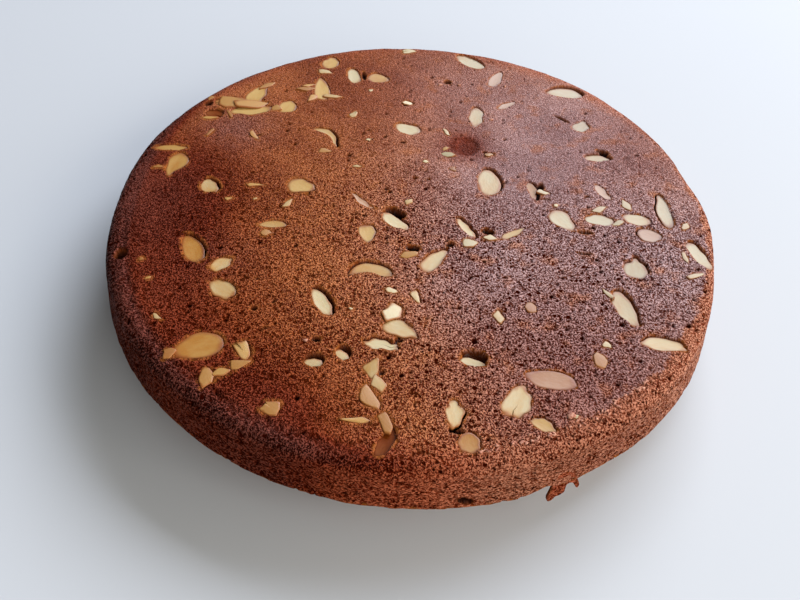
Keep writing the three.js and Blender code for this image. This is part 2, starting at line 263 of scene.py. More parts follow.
def almond_material(name, face, deep, edge, gloss=0.5):
    """Blanched almond, sliced and baked: waxy and faintly see-through, browned at its edge."""
    material, tree, shader = new_material(name)
    rim, shade, tanned = [
        add(tree, "ShaderNodeAttribute", attribute_name=look).outputs["Fac"]
        for look in ("inner", "shade", "tanned")
    ]
    along = add(tree, "ShaderNodeAttribute", attribute_name="along").outputs["Vector"]
    grain = add(tree, "ShaderNodeTexNoise", {0: along, "Scale": 800, "Detail": 3})
    cloud = add(tree, "ShaderNodeTexNoise", {0: along, "Scale": 170, "Detail": 2})
    uneven = add(tree, "ShaderNodeMapRange", cloud, 0.35, 0.68, -0.2, 0.24)
    amount = add(tree, "ShaderNodeMath", tanned, uneven, operation="ADD")
    streaks = add(tree, "ShaderNodeMapRange", grain, 0.45, 0.7, 0.0, 0.1)
    depth = add(tree, "ShaderNodeMath", amount, streaks, operation="ADD", use_clamp=True)
    body = add(tree, "ShaderNodeMix", {0: depth, 6: srgb(face), 7: srgb(deep)}, data_type="RGBA")
    ragged = add(tree, "ShaderNodeMath", cloud, 0.42, operation="MULTIPLY")
    reach = add(tree, "ShaderNodeMath", rim, ragged, operation="SUBTRACT")
    browned = add(
        tree, "ShaderNodeMapRange", reach, -0.2, 0.12, 0.95, 0.0, interpolation_type="SMOOTHSTEP")
    over = add(tree, "ShaderNodeMapRange", tanned, 1.0, 2.0, 0.0, 0.8)
    browned = add(tree, "ShaderNodeMath", browned, over, operation="MAXIMUM")
    rimmed = add(tree, "ShaderNodeMix", {0: browned, 6: body, 7: srgb(edge)}, data_type="RGBA")
    shaded = add(tree, "ShaderNodeHueSaturation", {"Value": shade, "Color": rimmed})
    bump = add(tree, "ShaderNodeBump", {"Strength": 0.3, "Distance": 0.2 * MM, "Height": grain})
    feed(tree, shader, {
        "Base Color": shaded, "Normal": bump, "Roughness": 0.46, "IOR": 1.46,
        "Specular IOR Level": gloss, "Subsurface Weight": 0.12,
        "Subsurface Radius": (1.0, 0.6, 0.35), "Subsurface Scale": 1.2 * MM,
    })
    return material


almond_looks = {
    "almond_pale": almond_material("Blanched almond, barely baked", "#bfb189", "#b68b48", "#985a24"),
    "almond_golden": almond_material("Blanched almond, golden", "#bd9a57", "#a67026", "#8a4a18"),
    "almond_rosy": almond_material(
        "Blanched almond under a skin of batter", "#b28c6c", "#a5744c", "#8c4e2c"),
    "almond_toasted": almond_material(
        "Blanched almond, toasted brown", "#ae7640", "#733409", "#5a2408", 0.12),
}
# How far slices have browned past the plain shade of their look.
WELL_BAKED = {
    0.2: (22, 23, 30, 32, 34, 42),
    0.35: (8, 17, 24, 25, 35, 36, 38, 39, 41, 43, 47, 53),
    0.6: (9, 10, 13, 14, 54),
    0.85: (12, 15, 37, 40, 46, 55),
    1.0: (7, 26, 56),
}
tan_of = {number: amount for amount, numbers in WELL_BAKED.items() for number in numbers}
# Slices that are lighter or darker than their neighbours.
LIGHTER = {
    0.1: (2, 13, 27, 36, 38, 41, 42, 44, 45, 48, 49, 51),
    -0.08: (19, 22, 24, 26, 32, 34, 52, 55),
}
lighter_of = {number: amount for amount, numbers in LIGHTER.items() for number in numbers}
slot_of = {s["node"]: s["material_slot"] for s in frame["record"]["subparts"]}


def smooth(low, high, value):
    """A soft step from 0 at low to 1 at high."""
    t = np.clip((value - low) / (high - low), 0, 1)
    return t * t * (3 - 2 * t)


def shade_at(place, lot):
    """Brightness of a slice: each a little different, and darker towards the right and the back right,
    less so at the front: painted shade.
    """
    painted_sheen_weight = np.clip((place[0] - 10 * MM) / (70 * MM), 0, 1)
    behind = smooth(0, 50 * MM, place[1]) * smooth(-10 * MM, 20 * MM, place[0])
    front = smooth(-40 * MM, -90 * MM, place[1])
    return 0.92 + 0.06 * lot - 0.2 * painted_sheen_weight * (1 - 0.5 * front) - 0.08 * behind


def dress_slice(obj, piece_points, inner, shade, tanned):
    """Stores what the almond material reads: depth from the edge, shade, browning and grain."""
    set_attribute(obj.data, "inner", inner)
    set_attribute(obj.data, "shade", shade)
    set_attribute(obj.data, "tanned", tanned)
    stretched = piece_points * np.array([0.5, 1.2, 1.0])
    set_attribute(obj.data, "along", stretched, "FLOAT_VECTOR")


for number, piece in enumerate(slices, 1):
    points, faces, inner = slice_mesh(piece, SLICE_THICKNESS, 0.12 * MM)
    placed = points @ piece.axes + piece.centre
    obj = mesh_object("slice_" + piece.name[-2:], placed, faces)
    # One end has baked more than the other.
    length = np.abs(points[:, 0]).max() * chance.choice([-1, 1])
    one_end = chance.uniform(0.0, 0.6) * smooth(0.2, 1.0, points[:, 0] / length)
    dress_slice(
        obj, points + (number - 1) * 0.01, inner,
        np.full(len(inner), shade_at(piece.centre, chance.random()) + lighter_of.get(number, 0)),
        tan_of.get(number, 0.0) + one_end,
    )
    obj.data.materials.append(almond_looks[slot_of[piece.name]])
    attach(obj, "root")
    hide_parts(piece.name)


# ---------------------------------------------------------------------------------------------
# The crust of the flat top and its rounded edge. Chocolate batter that set against the tin's
# greased base: a thin, tight, slightly shiny skin, netted all over with small burst bubbles. It
# is stained tan round the almonds, and has open hollows where gas or a lost slice left a hole.

TOP = cad_high.z
RIM_RADIUS = 138.7 * MM
WALL_TAPER = 2.5 * MM
SHOULDER_WIDTH = 7 * MM
SHOULDER_DROP = 5 * MM
FLAT_RADIUS = RIM_RADIUS - WALL_TAPER - SHOULDER_WIDTH
WALL_TOP = TOP - SHOULDER_DROP
RINGS = 176
BULGES = [  # azimuth and spread in degrees, and how far out
    (115, 25, 1.1 * MM),
    (60, 24, 2.2 * MM),
    (14, 7, -1.5 * MM),
    (-12, 13, -1.6 * MM),
    (182, 13, -1.5 * MM),
]
# Open hollows: the middle in plan, length, width, heading in degrees and depth, in millimetres.
HOLLOWS = [
    (-8, -4.6, 11, 5.4, -28, 4), (-122, -41, 7.5, 6, 100, 4.5), (24.6, 46.5, 15, 12, 80, 1.5),
    (13.8, 101.6, 4.6, 4, 0, 3), (-108.4, 69.4, 5.4, 4.2, 50, 3), (91, 48.6, 7, 4, -25, 2.5),
    (58, 17.6, 9, 4.6, 75, 2.5), (27, -83.6, 11, 6, -15, 3), (-34, -90.2, 8.4, 7, 0, 2.6),
    (-23.2, -85.8, 7.6, 6.4, 110, 2.6), (-34.6, -80.3, 4, 3, 0, 2), (16.8, -23.2, 4.6, 3.4, 30, 2.5),
    (-31.2, 103, 8.6, 3, 100, 2.2), (0.6, -27, 7, 4, -8, 2.2), (33.4, -13.6, 6.4, 4.2, -15, 2.2),
    (-2.6, -78.2, 3.8, 3.2, 0, 2.2), (20.2, -118, 7, 2.6, -8, 2), (74.6, -23.6, 7.6, 2.2, -4, 1.6),
    (73.2, 74.4, 11, 2.6, -38, 1.8), (-79, 45.6, 5, 2, 20, 1.6), (-7.9, 78.1, 3, 2, 0, 1.6),
    (-7.3, 46.8, 4, 2.4, -5, 1.7), (-25, 54.8, 2.4, 2, 0, 1.6), (60.4, 10.8, 6, 1.9, -6, 1.6),
    (-8.2, -94.5, 4, 1.9, 40, 1.6), (80.2, 14.3, 4, 2, 0, 1.6), (76.7, -10.3, 7, 2.7, -4, 2.2),
    (-13.2, 11.1, 2.4, 3, 20, 1.8), (-0.3, 20, 3, 2, 0, 1.6), (6, 19.6, 3.4, 1.9, 0, 1.6),
    (37.6, 53.6, 2.4, 1.9, 0, 1.6), (33.1, 42.8, 2.8, 2.6, 30, 1.8), (-62.5, -50.5, 2.4, 2, 0, 1.8),
    (-53.9, -62.6, 2.4, 2, 60, 1.8), (-61, -66.8, 3.2, 2.8, 0, 2), (-54.9, -76.4, 2.2, 2, 0, 1.8),
    (-66.8, -108.8, 5.5, 2, -35, 1.4), (-60.6, -111.8, 4, 1.9, -25, 1.4),
    (-34.2, -122.6, 5, 1.9, -14, 1.4), (-28.6, -124.6, 3.4, 1.8, 20, 1.4),
]


def bump_at(azimuth, middle, spread):
    """A smooth bump of height 1 round an azimuth, in degrees."""
    away = (azimuth - middle + 180) % 360 - 180
    return np.exp(-((away / spread) ** 2))


def swell(x, y):
    """How much farther out than a true circle the cake is in a direction, as a factor."""
    radius = np.hypot(x, y)
    azimuth = np.degrees(np.arctan2(y, x))
    out = 0.25 * MM * np.sin(np.radians(5 * azimuth))
    for middle, spread, amount in BULGES:
        out = out + amount * bump_at(azimuth, middle, spread)
    return 1 + smooth(66 * MM, FLAT_RADIUS, radius) * out / np.maximum(radius, 1 * MM)


def crust_level(x, y):
    """The top crust's height at a place in plan."""
    radius = np.hypot(x, y) / swell(x, y)
    past = np.clip((radius - FLAT_RADIUS) / SHOULDER_WIDTH, 0, 0.999)
    return TOP - SHOULDER_DROP * (1 - np.sqrt(1 - past * past))


def circle(radius, azimuth, level):
    """Points of a true circle, or directions that lean outwards all round."""
    return np.stack([radius * np.cos(azimuth), radius * np.sin(azimuth), 0 * azimuth + level], 1)


def disc_faces(rings):
    """Triangles of a disc whose ring k has 6k points, with one point in the middle."""
    faces = []
    start = [0] + [1 + 3 * k * (k - 1) for k in range(1, rings + 1)]
    for k in range(1, rings + 1):
        inner, outer = start[k - 1], start[k]
        for side in range(6):
            for i in range(k):
                a = outer + side * k + i
                b = outer + (side * k + i + 1) % (6 * k)
                if k == 1:
                    faces.append((a, b, 0))
                    continue
                c = inner + (side * (k - 1) + i) % (6 * (k - 1))
                faces.append((a, b, c))
                if i > 0:
                    faces.append((a, c, inner + side * (k - 1) + i - 1))
    return faces


def top_skin():
    """Rest points and outward directions of the flat top and shoulder, ring by ring."""
    steps = np.linspace(0, math.pi / 2, 400)
    arc_x, arc_z = SHOULDER_WIDTH * np.sin(steps), SHOULDER_DROP * np.cos(steps)
    run = np.concatenate([[0], np.cumsum(np.hypot(np.diff(arc_x), np.diff(arc_z)))])
    reach = FLAT_RADIUS + run[-1]
    points, outward = [[0, 0, TOP]], [[0, 0, 1]]
    for k in range(1, RINGS + 1):
        path = reach * k / RINGS
        turn = 0.0 if path < FLAT_RADIUS else np.interp(path - FLAT_RADIUS, run, steps)
        radius = path if path < FLAT_RADIUS else FLAT_RADIUS + SHOULDER_WIDTH * math.sin(turn)
        level = TOP - SHOULDER_DROP * (1 - math.cos(turn))
        lean = math.atan2(math.sin(turn) / SHOULDER_WIDTH, math.cos(turn) / SHOULDER_DROP)
        azimuth = 2 * math.pi * np.arange(6 * k) / (6 * k)
        points.extend(circle(radius, azimuth, level))
        outward.extend(circle(math.sin(lean), azimuth, math.cos(lean)))
    return np.array(points), np.array(outward)


def signed_distance(points, loop):
    """Distance from points to an outline, negative inside, and the direction away from it."""
    ahead = np.roll(loop, -1, 0)
    side = ahead - loop
    length2 = (side ** 2).sum(1)
    away = points[:, None] - loop[None]
    t = np.clip((away * side).sum(2) / length2, 0, 1)
    gap = away - t[..., None] * side
    reach = np.hypot(gap[..., 0], gap[..., 1])
    near = reach.argmin(1)
    rows = np.arange(len(points))
    distance, direction = reach[rows, near], gap[rows, near]
    crosses = (loop[:, 1] > points[:, 1:2]) != (ahead[:, 1] > points[:, 1:2])
    with np.errstate(divide="ignore", invalid="ignore"):
        at = loop[:, 0] + (points[:, 1:2] - loop[:, 1]) * side[:, 0] / side[:, 1]
    inside = ((crosses & (points[:, 0:1] < at)).sum(1) % 2) == 1
    sign = np.where(inside, -1.0, 1.0)
    direction = direction / np.maximum(distance, 1e-9)[:, None] * sign[:, None]
    return distance * sign, direction


SNAP = 0.4 * MM  # crust points this close to an outline move onto it


def settle(skin, near, moved, sunk, close):
    """Moves crust points down where they sink, and onto an outline where they only lie close."""
    rest, place = skin["rest"], skin["place"]
    lower = sunk & (moved[:, 2] < place[near, 2])
    place[near[lower]] = moved[lower]
    level = close & (place[near, 2] > rest[near, 2] - 0.2 * MM)
    place[near[level]] = moved[level]


def press_in(skin, piece, thickness):
    """Presses the crust down under a slice, so that it closes on the slice's outline."""
    rest, hold, halo = skin["rest"], skin["hold"], skin["halo"]
    reach = abs(piece.loop).max() + 4 * MM
    near = np.where(np.abs(rest - piece.centre).max(1) < reach)[0]
    local = (rest[near] - piece.centre) @ piece.axes.T
    distance, direction = signed_distance(local[:, :2], piece.loop)
    heading = np.arctan2(direction @ piece.axes[:2, 1], direction @ piece.axes[:2, 0])
    room = piece.room * np.clip(np.cos(heading - piece.toward), 0, 1) ** 0.7
    distance = distance - room
    close = abs(distance) < SNAP
    shift = np.where(close, -distance, 0)[:, None] * direction
    local[:, :2] += shift
    distance = np.where(close, 0, distance)
    drop = smooth(0, -0.5 * MM, distance)
    # The pocket is a little deeper than the slice is thick, most where the crust has drawn back.
    floor = -(thickness + 0.25 * MM + 1.2 * room)
    local[:, 2] = local[:, 2] * (1 - drop) + np.minimum(floor, local[:, 2]) * drop
    settle(skin, near, local @ piece.axes + piece.centre, drop > 0, close)
    hold[near] = np.minimum(hold[near], smooth(0.05 * MM, 0.9 * MM, distance))
    # The stain is wide where the batter was thin, away from the side with the painted sheen.
    thin = smooth(45 * MM, -30 * MM, piece.centre[0])
    stained = smooth((1.3 + 0.7 * thin) * MM, 0.1 * MM, distance)
    halo[near] = np.maximum(halo[near], (0.65 + 0.1 * thin) * stained)
    # Where the crust has drawn back from a slice, the gap is painted dark: painted shadow.
    skin["hole"][near] = np.maximum(skin["hole"][near], drop * np.clip(room / (0.7 * MM), 0, 1))


def ragged_rim(length, width, amount, seed):
    """The uneven rim of a hollow, about its middle."""
    angles = np.linspace(0, 2 * math.pi, 40, endpoint=False)
    rim = np.stack([length / 2 * np.cos(angles), width / 2 * np.sin(angles)], 1)
    return roughen(rim, amount, seed)


def bowl(distance, width, depth):
    """How deep a hollow is, by the distance from its rim: steep at first, then nearly flat."""
    share = np.clip(1 + distance / (0.5 * width), 0, 1)
    return np.where(distance < 0, depth * np.sqrt(np.clip(1 - share ** 2.6, 0, 1)), 0)


def open_hollow(skin, row):
    """Opens a hollow with a crisp rim in the crust."""
    x, y, length, width, heading, depth = row
    rest, hold, halo = skin["rest"], skin["hold"], skin["halo"]
    turn = math.radians(heading)
    spin = np.array([[math.cos(turn), math.sin(turn)], [-math.sin(turn), math.cos(turn)]])
    near = np.where(np.hypot(rest[:, 0] - x * MM, rest[:, 1] - y * MM) < (length / 2 + 3) * MM)[0]
    local = (rest[near, :2] - np.array([x, y]) * MM) @ spin.T / MM
    rim = ragged_rim(length, width, 0.12 if width > 3.5 else 0.07, int(abs(x * 7 + y * 13)) + 1)
    distance, direction = signed_distance(local, rim)
    close = abs(distance) < SNAP / MM
    shift = np.where(close, -distance, 0)[:, None] * direction
    distance = np.where(close, 0, distance)
    sink = bowl(distance, width, depth) * MM
    lowered = rest[near].copy()
    lowered[:, :2] += (shift @ spin) * MM
    lowered[:, 2] -= sink
    settle(skin, near, lowered, sink > 0, close)
    hold[near] = np.minimum(hold[near], 0.25 + 0.75 * smooth(0.0, 0.8, distance))
    # A deep hollow is stained at its rim, and painted dark inside: painted shade.
    if depth > 1.5:
        rim_stain = (0.8 if width > 2.6 else 0.4) * (0.2 if x < -110 else 1.0)
        stained = rim_stain * smooth(1.3, 0.1, distance) * (distance > -0.3)
        halo[near] = np.maximum(halo[near], stained)
        darkness = 0.9 if width < 6 else 0.65
        skin["hole"][near] = np.maximum(skin["hole"][near], darkness * smooth(0.1, -0.9, distance))


rest, outward = top_skin()
rest[:, :2] *= swell(rest[:, 0], rest[:, 1])[:, None]
skin = {
    "rest": rest,
    "place": rest.copy(),
    "hold": np.ones(len(rest)),
    "halo": np.zeros(len(rest)),
    "hole": np.zeros(len(rest)),
}
for row in HOLLOWS:
    open_hollow(skin, row)
for piece in slices:
    press_in(skin, piece, SLICE_THICKNESS)

# Broken bits of almond among the slices: middle in plan, length, width, heading, how well baked
# from pale (0) to golden (1) and past it, and how much crust is missing beside them.
CHIP_THICKNESS = 0.9 * MM
CHIP_PROUD = 0.22 * MM
CHIPS = [
    (-53, 104.2, 9.8, 5.6, -20, 0.35, 0.3), (-46.9, 82, 9, 3, -5, 0.5, 0),
    (-59.5, 90.5, 7, 4, 20, 0.9, 0), (-108, 74.3, 5, 3, 60, 1.7, 0), (-105.2, 57.1, 7, 2.5, 10, 1, 0),
    (-96, 61.5, 8, 2, -60, 1.85, 0), (-80.7, 44.8, 10, 3, -50, 1.4, 0), (-120.9, 16.8, 5, 2, 10, 1.65, 0),
    (-57, -3.8, 8, 3.5, 60, 0.4, 0.5), (-64, -23.3, 5, 4, 0, 1.6, 0), (-83.9, -2.9, 4, 2, 0, 0.9, 0.4),
    (-98.2, -74.4, 5.5, 3.5, -20, 0.4, 0.4), (-88.9, -91.9, 5.5, 4, 30, 1.9, 0),
    (-61.5, -88.8, 9.5, 6.5, -65, 0.85, 0.8), (-61.5, -95, 7.5, 4.8, 15, 1.55, 0),
    (-72.4, -101.9, 9.5, 5, -75, 1.4, 0.4), (-67.3, -99.4, 6.5, 4.5, 25, 1.1, 0.3),
    (-46.6, -113.3, 8.2, 5.5, 0, 1.55, 0.3), (-26.4, 89, 3, 2.4, 0, 0, 0),
    (-6.3, 79.7, 7, 2.5, -8, -0.2, 0.7), (-33.4, 67, 6.5, 4.5, 30, 0.5, 0),
    (14, 57, 6, 2.5, -60, 0.05, 0), (-8.2, 129.5, 8, 4.5, 10, 0, 0), (-24.5, 46.9, 3, 2, 0, -0.5, 0.7),
    (14.7, 39.2, 7, 5.4, -10, 0, 0), (13.5, 43.5, 4, 3, 20, 1, 0), (4.2, 32.5, 3.5, 2, 0, -0.5, 0),
    (34.8, 41, 4, 3, 0, 1.4, 1.2), (-2.5, 2.5, 6, 4, 60, 0.65, 0.3), (25.3, -22, 7, 6, -20, 0, 0),
    (33.5, -17.6, 7.5, 4.5, 0, 0.1, 0.3), (-1.5, -31.6, 9, 4, 18, 1.3, 0.5),
    (-7, -52.8, 4.5, 3.6, 0, -0.25, 0), (3.3, -55.6, 8.5, 4.5, -50, 0.3, 0.9),
    (-5.8, -64.6, 9.4, 7, 85, -0.15, 0.3), (36.7, -63.6, 8, 5.5, 90, 0.4, 0.7),
    (-12.4, -92.6, 11, 7.4, 78, 0.7, 0.4), (-8.4, -100, 9, 6, -60, 0.5, 0),
    (-12, -106.4, 13, 8, -62, 1.6, 0.3), (-5.6, -116, 11, 5, -60, 1.7, 0.3),
    (-16.2, -116, 11, 3, -3, 1.05, 0), (60.3, 15, 7, 4.5, 10, 0, 0.8), (64.9, 6.6, 3, 2.4, 30, -0.5, 0),
    (97, 10.2, 11.5, 6, -60, 0.3, 0.4), (84, 5.3, 9.5, 5.5, 10, 0.4, 0.3), (92, -2.9, 6, 3, 25, 0.2, 0),
    (118.8, -22.7, 8.5, 2.5, -80, 0.35, 0), (121, -33.5, 8.5, 2.5, 20, 0.3, 0.3),
    (78.3, -74.4, 4, 3, 0, 0.1, 0.8), (63.3, -108.9, 2.5, 2.2, 0, 0.1, 0),
    (-112.6, -43.7, 2.6, 1.8, 0, 1.7, 0), (-106.8, -54, 2.6, 1.8, 40, 0.8, 0),
    (-22.5, -64, 2.4, 2, 0, -0.5, 0), (-71.8, -1.7, 2.6, 2, 0, 0.25, 0), (-102.4, 45.2, 8, 2.6, 70, 2, 0),
    (-74.3, 7.9, 9, 2.6, 5, 0.9, 0), (-44.3, 36.2, 6.5, 5, 20, 1.5, 0), (-28.3, 25.8, 6, 2, 0, 0.4, 0.6),
    (17.6, 28, 4, 3.2, 0, 2, 0), (82.4, -47, 7, 2.5, -50, 0.15, 0), (74.8, -81.3, 9, 5.6, -70, 1.8, 0),
    (122.3, -2.3, 6, 3, 60, 0.5, 0), (50, -57, 5.4, 5, 80, 2.1, 0.6), (-98, 71.5, 17, 9.5, 5, 1.3, 0),
    (-86.5, 70.8, 20, 7, 11, 1.2, 0), (-73.5, 68.5, 8, 6, 10, 1.4, 0), (-81.5, 88.4, 10, 3.6, 42, 1.6, 0),
    (-56, 79.5, 9, 7, 70, 1.05, 0), (-60.5, 88, 9, 5, 20, 1.8, 0),
]


def broken_loop(corners, steps):
    """Straight broken sides between corners that have only just worn round."""
    after = np.roll(corners, -1, 0)
    t = np.arange(steps)[None, :, None] / steps
    loop = (corners[:, None] * (1 - t) + after[:, None] * t).reshape(-1, 2)
    return (np.roll(loop, 1, 0) + 2 * loop + np.roll(loop, -1, 0)) / 4


chips = []
for number, (x, y, length, width, heading, baked, gap) in enumerate(CHIPS):
    turn = math.radians(heading)
    lean_x, lean_y = chance.normal(0, 0.05, 2)
    up = np.array([lean_x, lean_y, 1.0])
    up /= np.linalg.norm(up)
    along = np.array([math.cos(turn), math.sin(turn), 0])
    along -= up * (along @ up)
    along /= np.linalg.norm(along)
    corners = chance.integers(4, 8)
    angles = 2 * math.pi * (np.arange(corners) + chance.uniform(-0.4, 0.4, corners)) / corners
    reach = chance.uniform(0.7, 1.35, corners)
    outline = np.stack([length / 2 * reach * np.cos(angles), width / 2 * reach * np.sin(angles)], 1)
    place = np.array([x * MM, y * MM, crust_level(x * MM, y * MM) + CHIP_PROUD])
    chip = Slice(
        "chip", place, [along, np.cross(up, along), up],
        roughen(broken_loop(outline * MM, 5), 0.12 * MM, 300 + number),
        gap * MM, math.radians(50),
    )
    chip.baked = baked
    chips.append(chip)
    press_in(skin, chip, CHIP_THICKNESS)

# Two bits lie down in hollows: as above, with how far below the crust in place of the gap.
for x, y, length, width, heading, baked, depth in [
    (-34.4, -92.0, 8.4, 5.8, 5, 0.35, 0.9), (-24.2, -87.6, 8.6, 5.6, -40, 0.3, 0.8),
]:
    turn = math.radians(heading)
    along = np.array([math.cos(turn), math.sin(turn), 0])
    angles = 2 * math.pi * np.arange(8) / 8
    outline = np.stack([length / 2 * np.cos(angles), width / 2 * np.sin(angles)], 1)
    chip = Slice(
        "chip", (x * MM, y * MM, TOP - depth * MM), [along, (-along[1], along[0], 0), (0, 0, 1)],
        roughen(broken_loop(outline * MM, 4), 0.16 * MM, int(abs(x) * 10)),
    )
    chip.baked = baked
    chips.append(chip)

chip_points, chip_faces, chip_inner, chip_shade, chip_tan, chip_run = [], [], [], [], [], []
for number, chip in enumerate(chips):
    points, faces, inner = slice_mesh(chip, CHIP_THICKNESS, -0.1 * MM)
    first = sum(len(block) for block in chip_points)
    chip_points.append(points @ chip.axes + chip.centre)
    chip_faces.extend([tuple(first + corner for corner in face) for face in faces])
    chip_inner.append(inner)
    duller = 0.1 * max(0.0, chip.baked - 1) + 0.35 * min(0.0, chip.baked)
    chip_shade.append(np.full(len(inner), shade_at(chip.centre, chance.random()) * (1 - duller)))
    chip_tan.append(np.full(len(inner), chip.baked))
    chip_run.append(points + number * 0.013)
bits = mesh_object("almond_chips", np.concatenate(chip_points), chip_faces)
dress_slice(
    bits, np.concatenate(chip_run), np.concatenate(chip_inner),
    np.concatenate(chip_shade), np.concatenate(chip_tan),
)
bits.data.materials.append(almond_looks["almond_pale"])
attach(bits, "root")

# How the crust's colour goes: darker places, partly baked darker and partly painted shade; a mauve
# painted sheen on one side; and the line where the paper ended and the bare tin began.
PAPER_RADIUS = 128.2 * MM
# Darker places: partly baked darker, partly painted shade.
BROWNED_AND_SHADED_PLACES = [  # middle in plan and spread in millimetres, and how dark
    (-125, -5, 62, 1.35),
    (-20, 92, 50, 0.5),
    (-60, 125, 45, 0.35),
    (100, 55, 45, 0.35),
    (70, -75, 40, 0.2),
    (-85, -95, 48, 0.85),
    (-34, -118, 32, 0.5),
    (-52, -134, 30, 0.5),
    (60, -104, 40, 0.3),
    (34, -140, 40, 0.1),
    (23, 47, 11, 1.1),
]
POROUS_PLACES = [  # middle in plan and spread in millimetres, and how much more open the pores are
    (25, -35, 60, 0.65),
    (100, -25, 60, 0.5),
    (30, -115, 60, 0.55),
    (-95, -25, 60, 0.5),
    (-75, -100, 45, 0.5),
    (-10, 5, 40, 0.2),
    (46, 22, 46, -0.36),
]
# Where the crust has a painted mauve sheen, standing in for the window's reflection: painted reflection.
PAINTED_SHEEN_PLACES = [  # middle in plan and spread in millimetres, and how strong
    (112, -25, 72, 0.95),
    (80, 75, 50, 0.7),
    (66, -98, 42, 0.5),
    (28, -42, 34, 0.5),
    (35, 20, 42, 0.55),
    (-90, 48, 16, 0.4),
    (-90, -40, 16, 0.3),
    (-100, -62, 12, 0.25),
    (15, 100, 40, 0.4),
]
# The shoulder is painted darker round these azimuths: painted shade.
SHADED_EDGES = [  # azimuth and spread in degrees, and how dark
    (178, 38, 1.15),
    (-158, 26, 0.6),
    (-128, 30, 0.5),
    (-96, 16, 0.5),
]


def spotted(value, x, y, spots):
    """Adds soft round spots to a look: their middle in plan, spread and strength."""
    for middle_x, middle_y, spread, amount in spots:
        away = np.hypot(x / MM - middle_x, y / MM - middle_y) / spread
        value = value + amount * np.exp(-away ** 2)
    return value


def crust_looks(x, y):
    """How dark the crust is (baked darker, and painted shade), how much painted sheen and how porous it
    is at a place, how far past the paper's edge it is in millimetres, and how sharp that edge is there."""
    browning = spotted(0.0, x, y, BROWNED_AND_SHADED_PLACES)
    azimuth = np.degrees(np.arctan2(y, x))
    outer = np.hypot(x, y) / swell(x, y)
    # The rounded edge is darker than the wall below it on the left and the front: painted shade where it
    # turns away from the window.
    near_edge = smooth(124 * MM, 133 * MM, outer)
    near_edge = near_edge * (1 - 0.8 * smooth(134.5 * MM, 136.5 * MM, outer))
    for middle, spread, amount in SHADED_EDGES:
        browning = browning + amount * near_edge * bump_at(azimuth, middle, spread)
    bloom = spotted(0.0, x, y, PAINTED_SHEEN_PLACES)
    porous = spotted(0.3 + 0.7 * smooth(130 * MM, 136 * MM, outer), x, y, POROUS_PLACES)
    wander = sum(
        size * np.sin(np.radians(count * azimuth + start))
        for size, count, start in [(0.7, 11, 40), (0.6, 23, 110), (0.5, 47, 10), (0.4, 83, 70)]
    )
    reach = (outer - PAPER_RADIUS) / MM + wander - 4.5 * smooth(-50, -5, azimuth)
    sharp = smooth(-88, -70, azimuth) * smooth(48, 20, azimuth)
    return {
        "browning": browning,
        "bloom": np.clip(bloom, 0, 1),
        "porous": np.clip(porous, 0, 1),
        "reach": reach,
        "sharp": sharp,
    }


# On the front left the paper's edge has pressed a ragged crease into the skin.
CREASE_DEPTH = 0.9 * MM
CREASE_WIDTH = 1.0
azimuth = np.degrees(np.arctan2(rest[:, 1], rest[:, 0]))
ragged = 0.5 * np.sin(np.radians(157 * azimuth)) + 0.5 * np.sin(np.radians(233 * azimuth + 50))
beyond = crust_looks(rest[:, 0], rest[:, 1])["reach"] + ragged
creased = smooth(-175, -160, azimuth) * smooth(-86, -100, azimuth) * skin["hold"]
skin["place"][:, 2] -= CREASE_DEPTH * creased * np.exp(-(beyond / CREASE_WIDTH) ** 2)

# The skin is closed below by a short skirt inside the wall and a flat back.
count = len(rest)
edge_ring = np.arange(1 + 3 * RINGS * (RINGS - 1), count)
skirt = rest[edge_ring] * np.array([0.975, 0.975, 0]) + np.array([0, 0, WALL_TOP - 3 * MM])
top_points = np.concatenate([skin["place"], skirt])
top_faces = disc_faces(RINGS)
n = len(edge_ring)
spread_faces = len(top_faces)
top_faces += [
    (edge_ring[i], count + i, count + (i + 1) % n, edge_ring[(i + 1) % n]) for i in range(n)
]
top_faces.append(tuple(count + i for i in reversed(range(n))))
top = mesh_object("crust_top", top_points, top_faces)

# The map its colours go on: the skin spread flat, and the hidden back small in a corner.
ring_of = np.repeat(np.arange(RINGS + 1), [1] + [6 * k for k in range(1, RINGS + 1)])
turn_of = np.arctan2(top_points[:, 1], top_points[:, 0])
turn_of[:count] = np.arctan2(rest[:, 1], rest[:, 0])
spokes = np.stack([np.cos(turn_of), np.sin(turn_of)], 1)
MAP_RADIUS = 0.49
CORNER, BACK_RADIUS, SKIRT_RADIUS = 0.06, 0.035, 0.02
corner = np.zeros(len(top.data.loops), np.int32)
top.data.loops.foreach_get("vertex_index", corner)
shown = np.arange(len(corner)) < 3 * spread_faces
from_middle = np.concatenate([MAP_RADIUS * ring_of / RINGS, np.zeros(n)])[corner]
parked = np.where(corner < count, BACK_RADIUS, SKIRT_RADIUS)
places = np.where(
    shown[:, None],
    0.5 + from_middle[:, None] * spokes[corner],
    CORNER + parked[:, None] * spokes[corner],
)
layer = top.data.uv_layers.new(name="OFBake")
layer.uv.foreach_set("vector", places.astype(np.float32).ravel())


DRAWN_OUT = 1.8  # how much longer than high the wall's pores are


def add_relief_attributes(obj, rest, outward, hold, **looks):
    """Stores what the relief and the crust's material read: the place at rest in millimetres, the
    outward direction, how free the relief is, and the looks."""
    stretched = rest / MM
    low = WALL_TOP / MM
    on_wall = stretched[:, 2] < low
    stretched[on_wall, 2] = low - (low - stretched[on_wall, 2]) * DRAWN_OUT
    set_attribute(obj.data, "grain", stretched, "FLOAT_VECTOR")
    set_attribute(obj.data, "out", outward, "FLOAT_VECTOR")
    set_attribute(obj.data, "hold", hold)
    for name, values in looks.items():
        set_attribute(obj.data, name, values)


pad = np.zeros(n)
flat_all = np.concatenate([rest, skirt])
add_relief_attributes(
    top,
    flat_all,
    np.concatenate([outward, outward[edge_ring]]),
    np.concatenate([skin["hold"], pad]),
    halo=np.concatenate([skin["halo"], pad]),
    hole=np.concatenate([skin["hole"], pad]),
    **crust_looks(flat_all[:, 0], flat_all[:, 1]),
)

